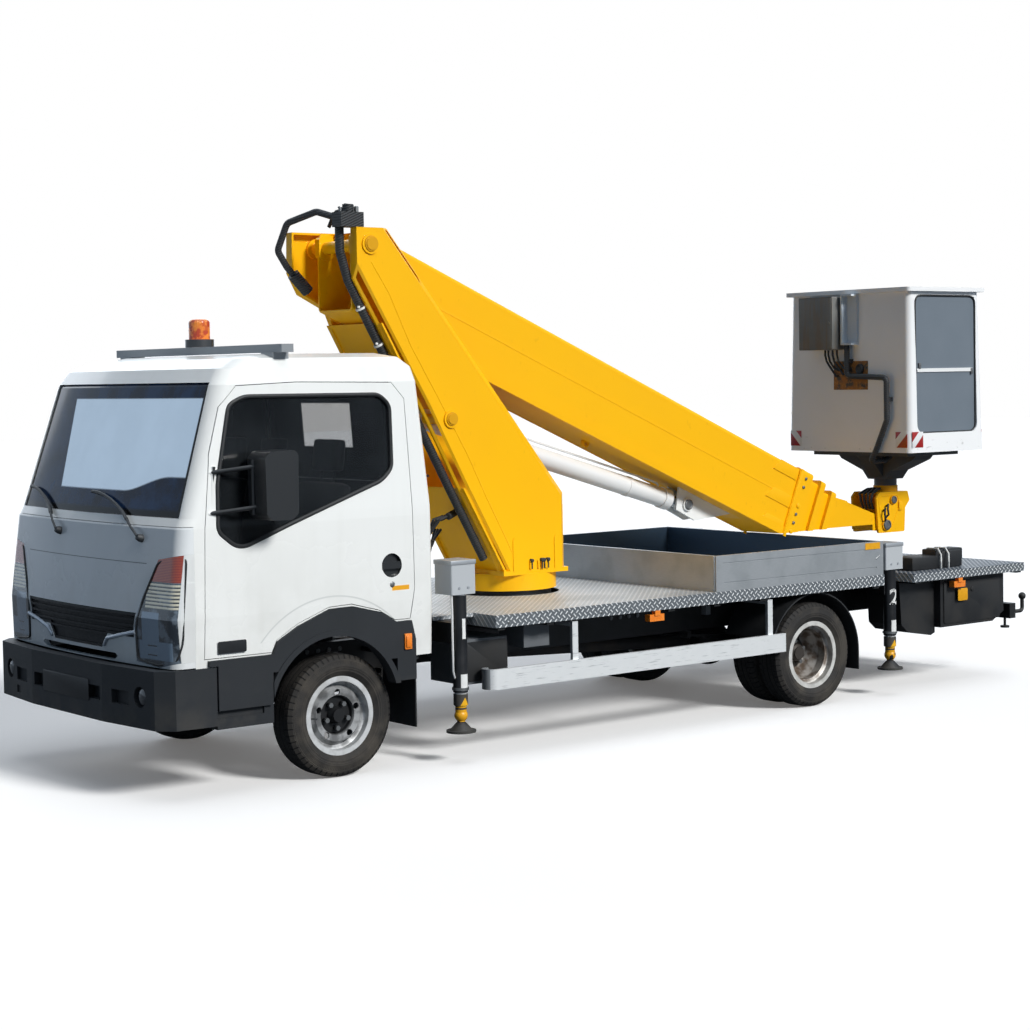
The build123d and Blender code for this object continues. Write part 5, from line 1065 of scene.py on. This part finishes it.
TURRET_Y = 0.290
PIN_END_Y = 0.3003
BOOM_PIN, BARREL_PIN = (1.62, 2.80), (1.09, 1.82)
SLEW_X, SLEW_BOLTS, SLEW_CIRCLE = 0.49, 24, 0.277
HEXAGON = 6
turret_yellow = machine_yellow("turret_yellow")
pin_ends = abs(turret_yellow.y).above(PIN_END_Y + 0.0002, 0.0005)
dress(("turret",), turret_yellow.over(pin_ends, "dca010", 0.4))
FOLD = ((1.615, 2.70), (1.50, 2.53), (1.36, 2.24), (1.18, 1.95), (0.98, 1.62), (0.845, 1.36), (0.70, 1.10),
        (0.66, 1.02))
ribs, caps, fittings = Work(), Work(), Work()
for side in (1, -1):
    face = side * (TURRET_Y - 0.001)
    ribs.tube([(x, side * (TURRET_Y - 0.0035), z) for x, z in FOLD], 0.0065, 8)
    for x in (0.655, 0.345):
        ribs.plate([(x - 0.004, face, 0.92), (x + 0.006, face, 0.92), (x + 0.006, face, 1.10),
                    (x - 0.004, face, 1.115)], (0, side * 0.006, 0), 0.0015)
    for x in (0.535, 0.475, 0.445, 0.42):
        low, high = sorted((face, side * (TURRET_Y + 0.01)))
        ribs.box((x - 0.006, low, 0.925), (x + 0.006, high, 0.975), 0.002)
    for (x, z), radius in ((BOOM_PIN, 0.057), (BARREL_PIN, 0.052)):
        caps.turned((x, side * PIN_END_Y, z), (0, side, 0),
                    ((0, radius - 0.012), (0.006, radius - 0.014), (0.0065, radius - 0.022),
                     (0.003, radius - 0.026), (0.003, 0.02), (0.0105, 0.019), (0.011, 0)), 32)
    for x in (0.528, 0.452, 0.436, 0.405):
        fittings.turned((x, side * 0.300, 0.975), (0, side, 0),
                        ((-0.012, 0.011), (0.008, 0.011), (0.011, 0.008), (0.011, 0)), 12)
        fittings.rod((x, side * 0.303, 0.965), (x, side * 0.303, 0.925), 0.004, 8)
ribs.done("turret_ribs", "turret", "yellow", turret_yellow)
caps.done("turret_pin_caps", "turret", "yellow", turret_yellow)
fittings.done("turret_fittings", "turret", "dark_plastic", black_plastic)
base_bolts = Work()
for k in range(SLEW_BOLTS):
    a = 2 * math.pi * k / SLEW_BOLTS
    base_bolts.turned((SLEW_X + SLEW_CIRCLE * math.cos(a), SLEW_CIRCLE * math.sin(a), 0.9), (0, 0, -1),
                      ((0.0, 0.001), (0.0, 0.013), (0.012, 0.013), (0.014, 0.010), (0.014, 0)), HEXAGON)
base_bolts.done("slew_bolts", "turret", "steel", zinc)
front_bolts = Work()
for y in (-0.06, 0.07):
    front_bolts.turned((1.005, y, 1.485), (0.88, 0, -0.48),
                       ((0.0, 0.009), (0.006, 0.009), (0.008, 0.007), (0.008, 0)), HEXAGON)
front_bolts.done("turret_front_bolts", "turret", "steel", zinc)
stub = Work().rod((0.90, 0.10, 1.285), (1.03, 0.16, 1.255), 0.021, 16, 0.004)
stub.rod((0.90, 0.04, 1.262), (1.02, 0.07, 1.235), 0.014, 14, 0.003)
for k in range(3):
    sag = 0.09 + 0.035 * k
    stub.tube([(1.03, 0.15 - 0.02 * k, 1.255), (1.09, 0.16 - 0.03 * k, 1.24),
               (1.14, 0.12 - 0.03 * k, 1.24 - sag), (1.10, 0.03 - 0.03 * k, 1.22 - sag * 1.3),
               (1.02, -0.02 * k, 1.20 - sag), (0.965, -0.03 * k, 1.17)], 0.008, 8)
stub.done("slew_hoses", "turret", "black_rubber", rubber_black)

# Elbow hoses: a corrugated black sleeve over the hydraulic hoses, strapped to the turret with white
# ties; its end fittings are clamped at the head of the mast.
sleeve_black = Finish("hose_sleeve")
rings = (sleeve_black.z * 70 + sleeve_black.x * 30).stripes(0.15, 0.75, 0.12)
dusty = sleeve_black.noise(20, 4)
sleeve_black.set(Base_Color=sleeve_black.blend("0c0d0e", "35383b", rings * 0.5 + dusty * 0.3),
                 Roughness=0.45 + dusty * 0.2)
sleeve_black.bump(rings, 0.7, 0.004)
dress(("elbow_hoses", "basket_hose"), sleeve_black)
TIE_POINTS = (
    # middle of the tie, direction of the hose there
    ((1.635, 0.203, 2.448), (-0.48, 0, -0.88)), ((1.52, 0.203, 2.245), (-0.5, 0, -0.866)),
)
TIE_IN, TIE_OUT, TIE_WIDTH = 0.0252, 0.0285, 0.012
TIE = ((0, TIE_IN), (0, TIE_OUT), (TIE_WIDTH, TIE_OUT), (TIE_WIDTH, TIE_IN))
ties = Work()
for middle, way in TIE_POINTS:
    ties.turned(Vector(middle) - Vector(way) * (TIE_WIDTH / 2), way, TIE, 20)
    x, y, z = middle
    ties.box((x + 0.018, y + 0.014, z), (x + 0.032, y + 0.024, z + 0.012), 0.002)
ties.done("hose_ties", "turret", "rail_alu", white_paint)
head_fittings = Work()
for k, (x, y) in enumerate(((1.70, 0.215), (1.735, 0.25), (1.765, 0.22), (1.69, 0.265))):
    head_fittings.rod((x, y, 2.965), (x, y, 2.992 + 0.004 * k), 0.012, 6, 0.002)
    head_fittings.rod((x, y, 2.985), (x + 0.01, y - 0.005, 3.004), 0.007, 10, 0.002)
head_fittings.done("hose_fittings", "turret", "steel", zinc)
top_cables = Work()
for k in range(5):
    y0, lift = 0.215 + 0.014 * k, 0.004 * k
    top_cables.tube([(1.665 + 0.012 * k, y0, 2.965), (1.672 + 0.01 * k, y0 - 0.01, 2.993 + lift),
                     (1.70 + 0.01 * k, y0 - 0.045, 3.0 + lift), (1.735, y0 - 0.09, 2.985),
                     (1.765 - 0.01 * k, 0.135 - 0.01 * k, 2.955), (1.77 - 0.01 * k, 0.10 - 0.012 * k, 2.90)],
                    0.0065, 8)
top_cables.done("head_cables", "turret", "black_rubber", rubber_black)

# Boom: a welded steel box with two more sections inside it, in yellow enamel with a fold line along
# each side. The lift cylinder is white, as is its bracket under the boom, and its rod is chromed.
LEAN = math.radians(23.4)
PIVOT = Vector((BOOM_PIN[0], 0, BOOM_PIN[1]))


def on_boom(u, y, v):
    """A point u along the boom, y across and v above its pivot line, in metres."""
    ahead, rise = -u * math.cos(LEAN) - v * math.sin(LEAN), -u * math.sin(LEAN) + v * math.cos(LEAN)
    return PIVOT + Vector((ahead, y, rise))


boom_yellow = machine_yellow("boom_yellow")
behind, above = PIVOT.x - boom_yellow.x, boom_yellow.z - PIVOT.z
along = behind * math.cos(LEAN) - above * math.sin(LEAN)
over = above * math.cos(LEAN) + behind * math.sin(LEAN)
eye_bracket = (1 - over.above(-0.3565, 0.0008)) * along.between(2.80, 3.45)
eye_bracket = eye_bracket * (1 - abs(boom_yellow.y).above(0.075))
dress(("boom_outer", "boom_mid", "boom_inner"), boom_yellow.over(eye_bracket, "eef0ef", 0.35))
head_yellow = machine_yellow("head_yellow", 0.9)
dress(("boom_head",), head_yellow)
cylinder_white = enamel("cylinder_white", "eef0f0", 0.3)
dress(("lift_barrel",), cylinder_white)
dress(("lift_rod",), clouded("rod_chrome", "d5d9dc", "a7acb0", 20, 4, (0.12, 0.12), Metallic=1.0))

PAD_U, PAD_Y = 3.80, 0.182
BOOM_PLATES = (
    # y of the plate, thickness, bevel, then u and v of its corners
    (0.1682, 0.0035, 0.001, ((0.42, -0.098), (3.56, -0.098), (3.56, -0.106), (0.42, -0.106))),
    (0.1682, 0.007, 0.002, ((3.50, 0.02), (3.73, 0.02), (3.73, 0.10), (3.55, 0.10))),
    (0.1682, 0.007, 0.002, ((3.50, -0.35), (3.73, -0.35), (3.73, -0.27), (3.55, -0.27))),
    (0.1682, 0.007, 0.002, ((3.50, -0.17), (3.735, -0.17), (3.735, -0.09), (3.55, -0.09))),
    (0.1815, 0.005, 0.0015, ((3.74, -0.36), (3.765, -0.36), (3.765, 0.108), (3.74, 0.108))),
)
folds, boom_bolts, eye_caps = Work(), Work(), Work()
for side in (1, -1):
    for y, thick, bevel, corners in BOOM_PLATES:
        folds.plate([on_boom(u, side * y, v) for u, v in corners], (0, side * thick, 0), bevel)
    for v in (-0.31, -0.13):
        folds.turned(on_boom(PAD_U, side * PAD_Y, v), (0, side, 0),
                     ((0, 0.016), (0.006, 0.015), (0.008, 0.01), (0.008, 0)), 16)
    for v in (-0.25, -0.19, 0.0, 0.06):
        boom_bolts.turned(on_boom(PAD_U, side * PAD_Y, v), (0, side, 0),
                          ((0, 0.011), (0.007, 0.011), (0.008, 0.009), (0.008, 0)), HEXAGON)
    eye_caps.turned(on_boom(2.977, side * 0.0702, -0.4335), (0, side, 0),
                    ((0, 0.034), (0.006, 0.033), (0.008, 0.026), (0.005, 0.022), (0.005, 0)), 28)
for u in (0.55, 1.35, 2.15, 2.95):
    corners = ((u, -0.09), (u + 0.05, -0.09), (u + 0.05, 0.09), (u, 0.09))
    folds.plate([on_boom(at, y, 0.1035) for at, y in corners], on_boom(0, 0, 0.003) - PIVOT, 0.001)
folds.done("boom_plates", "boom_outer", "yellow", boom_yellow)
boom_bolts.done("boom_pad_bolts", "boom_outer", "steel", zinc)
eye_caps.done("cylinder_eye_caps", "boom_outer", "steel", zinc)
BASE, EYE_PIN = Vector((BARREL_PIN[0], 0, BARREL_PIN[1])), Vector((-0.94, 0, 1.22))
axis = (EYE_PIN - BASE).normalized()
cylinder_parts = Work()
PIPE_BAND = ((0, 0.0598), (0.002, 0.0635), (0.03, 0.0635), (0.032, 0.0598))
for d in (0.30, 1.62):
    cylinder_parts.turned(BASE + axis * d, axis, PIPE_BAND, 36)
pipe_up = axis.cross(Vector((0, 1, 0)))
if pipe_up.z < 0:
    pipe_up = -pipe_up
PIPE = ((0.22, 0.058), (0.24, 0.075), (0.30, 0.08), (1.0, 0.08), (1.80, 0.08), (1.86, 0.076), (1.875, 0.062))
cylinder_parts.tube([BASE + axis * d + pipe_up * h + Vector((0, 0.02, 0)) for d, h in PIPE], 0.007, 10)
port = BASE + axis * 0.24
cylinder_parts.box(port + Vector((-0.035, 0.0, 0.04)), port + Vector((0.035, 0.05, 0.085)), 0.004)
cylinder_parts.done("cylinder_pipe", "cylinder_barrel", "body_white", cylinder_white)

# Boom head: the levelling bracket with its pins, ribs and hoses.
HEAD_Y = 0.118
ARM = ((-2.70, 0.97), (-2.665, 1.16), (-2.70, 1.19), (-2.86, 1.19), (-2.88, 1.12), (-2.80, 0.97))
head_parts, head_ribs = Work(), Work()
for side in (1, -1):
    for x, z, radius in ((-2.74, 0.99, 0.036), (-2.81, 1.16, 0.028)):
        head_parts.turned((x, side * 0.1305, z), (0, side, 0),
                          ((0, radius), (0.008, radius - 0.003), (0.009, radius - 0.010),
                           (0.004, radius - 0.013), (0.004, 0)), 28)
    head_ribs.tube(rounded([(x, side * HEAD_Y, z) for x, z in ARM], 0.02), 0.004, 6)
    low, high = sorted((side * HEAD_Y, side * (HEAD_Y + 0.012)))
    head_ribs.box((-2.90, low, 1.085), (-2.865, high, 1.145), 0.004)
head_parts.done("head_pin_caps", "boom_head", "steel", zinc)
head_ribs.done("head_ribs", "boom_head", "yellow", head_yellow)
head_hoses = Work()
for k in range(4):
    s = 0.03 * k
    head_hoses.tube([(-2.66, 0.075 - s, 1.10), (-2.645, 0.07 - s, 1.15), (-2.67 + 0.01 * k, 0.06 - s, 1.205),
                     (-2.73, 0.05 - s, 1.232), (-2.775, 0.035 - 0.5 * s, 1.236)], 0.009, 10)
for k, (x, z) in enumerate(((-2.72, 1.09), (-2.75, 1.12))):
    head_hoses.tube([(x, HEAD_Y, z), (x + 0.01, 0.142, z + 0.012), (x + 0.02, 0.146, z - 0.02),
                     (x + 0.01, 0.144, z - 0.06), (x - 0.01 + 0.03 * k, HEAD_Y, z - 0.085)], 0.007, 10)
head_hoses.done("head_hoses", "boom_head", "black_rubber", rubber_black)

# Basket carrier: a dark painted bearer on the slew bearing, its webs flared out under the floor.
dress(("basket_carrier",), black_paint("carrier_grey", "3a3d41", "5d5a55", 0.5))

# Basket: a moulded glass-fibre tub with a rolled rim, white gel coat outside and grey within, worn at
# its foot. A gate in its left side has a rubber seal and a white edge.
gel_coat = Finish("gel_coat", Coat_Weight=0.3)
chalk = gel_coat.noise(3, 5)
scuffs = gel_coat.noise(22, 6, (1, 1, 2)).above(0.68, 0.05) * (1 - gel_coat.z.above(1.58, 0.06))
gel_coat.set(Base_Color=gel_coat.blend(gel_coat.blend("fcfdfd", "f2f4f5", chalk), "9b9a95", scuffs * 0.5),
             Roughness=0.3 + chalk * 0.15)
gel_coat.over(gel_coat.within((-3.22, -0.528, 1.545), (-2.52, 0.528, 2.60)), "b9bfc4", 0.55)
gel_coat.bump(gel_coat.noise(30, 3) + gel_coat.noise(250, 2) * 0.3, 0.06, 0.0015)
dress(("basket_shell",), gel_coat)
gate_grey = clouded("gate_grey", "67727c", "727c86", 5, 5, (0.42, 0.15), (180, 0.08, 0.0008))
dress(("basket_gate",), gate_grey.over(gate_grey.y.above(0.5385, 0.0004), "eef0f0", 0.35))
GATE = ((-3.179, 1.631), (-2.571, 1.631), (-2.571, 2.549), (-3.179, 2.549))
SEAL_Y, SEAL_SIDES = 0.5415, 8
turns = [2 * math.pi * a / SEAL_SIDES for a in range(SEAL_SIDES)]
route = rounded([(x, SEAL_Y, z) for x, z in GATE], 0.06)
seal = Work()
rings = []
for k, at in enumerate(route):
    ahead = (route[(k + 1) % len(route)] - route[k - 1]).normalized()
    inward, outward = Vector((0, 1, 0)).cross(ahead) * 0.0065, Vector((0, 0.007, 0))
    ring = [at + inward * math.cos(turn) + outward * math.sin(turn) for turn in turns]
    rings.append([seal.mesh.verts.new(place) for place in ring])
for k, ring in enumerate(rings):
    following = rings[(k + 1) % len(rings)]
    for a in range(SEAL_SIDES):
        b = (a + 1) % SEAL_SIDES
        seal.mesh.faces.new((ring[a], ring[b], following[b], following[a]))
seal.done("gate_seal", "basket", "black_rubber", rubber_black)
gate_parts = Work().box((-2.62, 0.536, 2.06), (-2.60, 0.552, 2.10), 0.003)
gate_parts.box((-3.15, 0.536, 2.02), (-3.13, 0.552, 2.06), 0.003)
gate_parts.done("gate_catches", "gate", "steel", zinc)

# Hazard corners: red and white reflective plates riveted over the basket's lower corners.
hazard = Finish("hazard_plate", Coat_Weight=0.4)
band = ((hazard.z - abs(hazard.y) + hazard.x) * 6.0).sum("FRACT").above(0.62, 0.01)
fade = hazard.noise(30, 3)
reds = hazard.blend("b0140d", "8e1008", fade)
hazard.set(Base_Color=hazard.blend(reds, "e9ebec", band), Roughness=0.3 + fade * 0.15)
LOW, HIGH = 1.535, 1.64
THICK, EDGE = 0.0025, 0.0006
corners = Work()
for side in (1, -1):
    wall = touch("basket_shell", (-2.0, side * 0.48, 1.585), (-1, 0, 0)).x
    flank = abs(touch("basket_shell", (-2.60, side * 1.2, 1.585), (0, -side, 0)).y)
    rear = touch("basket_shell", (-4.2, side * 0.48, 1.585), (1, 0, 0)).x
    near, far = (side * 0.435, LOW), (side * (flank - 0.022), HIGH)
    front, back = (wall - 0.022, LOW), (wall - 0.13, HIGH)
    corners.sheet("x", wall + 0.0005, near, far, THICK, 0, EDGE)
    corners.sheet("y", side * (flank + 0.0005), front, back, side * THICK, 0, EDGE)
    corners.sheet("x", rear - 0.0005, near, far, -THICK, 0, EDGE)
corners.done("hazard_corners", "basket", "lamp", hazard)

# Control cabinet: a grey steel box on the basket's front wall beside a bare bracket, streaked with
# rust. Its cables drop to a rusty gland plate, where the main hose starts.
cabinet_paint = Finish("cabinet_paint")
streaks = cabinet_paint.noise(26, 5, (1, 1, 0.12)).above(0.56, 0.08)
cab_cloud = cabinet_paint.noise(9, 5)
sprayed = cabinet_paint.blend("6a6c6b", "7f7f7b", cab_cloud)
cabinet_paint.set(Base_Color=cabinet_paint.blend(sprayed, "7d6242", streaks * 0.35),
                  Roughness=0.55 + cab_cloud * 0.2)
cabinet_paint.over(cabinet_paint.y.above(0.0005, 0.0004), "ccd6df", 0.4)
cabinet_paint.bump(cab_cloud + cabinet_paint.noise(200, 2) * 0.4, 0.15, 0.001)
dress(("control_box",), cabinet_paint)
rusty = Finish("gland_plate_rust")
flakes = rusty.noise(60, 5)
bare = rusty.blend("4c4a45", "9c6a35", rusty.noise(18, 6).above(0.45, 0.12))
flaked = rusty.blend(bare, "c08a4c", flakes.above(0.58, 0.06) * 0.6)
rusty.set(Base_Color=flaked, Roughness=0.7 + flakes * 0.2)
rusty.bump(flakes, 0.4, 0.0015)
front_wall = touch("basket_shell", (-2.0, 0.05, 2.0), (-1, 0, 0)).x
gland = Work().plate([(front_wall + (z - 2.0) * -0.018 + 0.0005, y, z)
                      for y, z in ((-0.125, 1.925), (0.185, 1.925), (0.185, 2.12), (-0.125, 2.12))],
                     (0.004, 0, 0), 0.001)
gland.add(bolt_row.mesh(Count=3, Start=(front_wall + 0.005, -0.105, 1.945), Step=(0.0, 0.135, 0.0),
                        Turn=FLAT_ON_FRONT, Radius=0.005, Height=0.004))
gland.done("gland_plate", "basket", "steel", rusty)
CABLES = (
    # y under the cabinet, y and z at the gland plate
    (-0.14, -0.06, 2.06), (-0.10, -0.02, 2.03), (-0.06, 0.03, 2.06), (-0.17, -0.09, 2.02),
)
cables = Work()
x = front_wall + 0.04
for y, end_y, end_z in CABLES:
    cables.tube([(x, y, 2.198), (x, y, 2.165), (x - 0.004, y + 0.01, 2.12),
                 (x - 0.012, (y + end_y) / 2, 2.075), (x - 0.02, end_y, end_z),
                 (front_wall + 0.006, end_y + 0.01, end_z)], 0.0075, 10)
cables.turned((front_wall + 0.003, 0.12, 2.065), (1, 0, 0),
              ((0, 0.036), (0.012, 0.035), (0.018, 0.028), (0.012, 0.02), (0.012, 0)), 28)
cables.done("cabinet_cables", "basket", "black_rubber", rubber_black)
door_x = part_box("control_box")[1][0]
cabinet_door = Work().sheet("x", door_x + 0.0003, (-0.322, 2.208), (-0.028, 2.552), 0.003, 0.008, 0.0015)
cabinet_door.turned((door_x + 0.003, -0.05, 2.38), (1, 0, 0),
                    ((0, 0.012), (0.004, 0.011), (0.005, 0.007), (0.004, 0)), 16)
cabinet_door.done("cabinet_door", "basket", "box_grey", cabinet_paint)
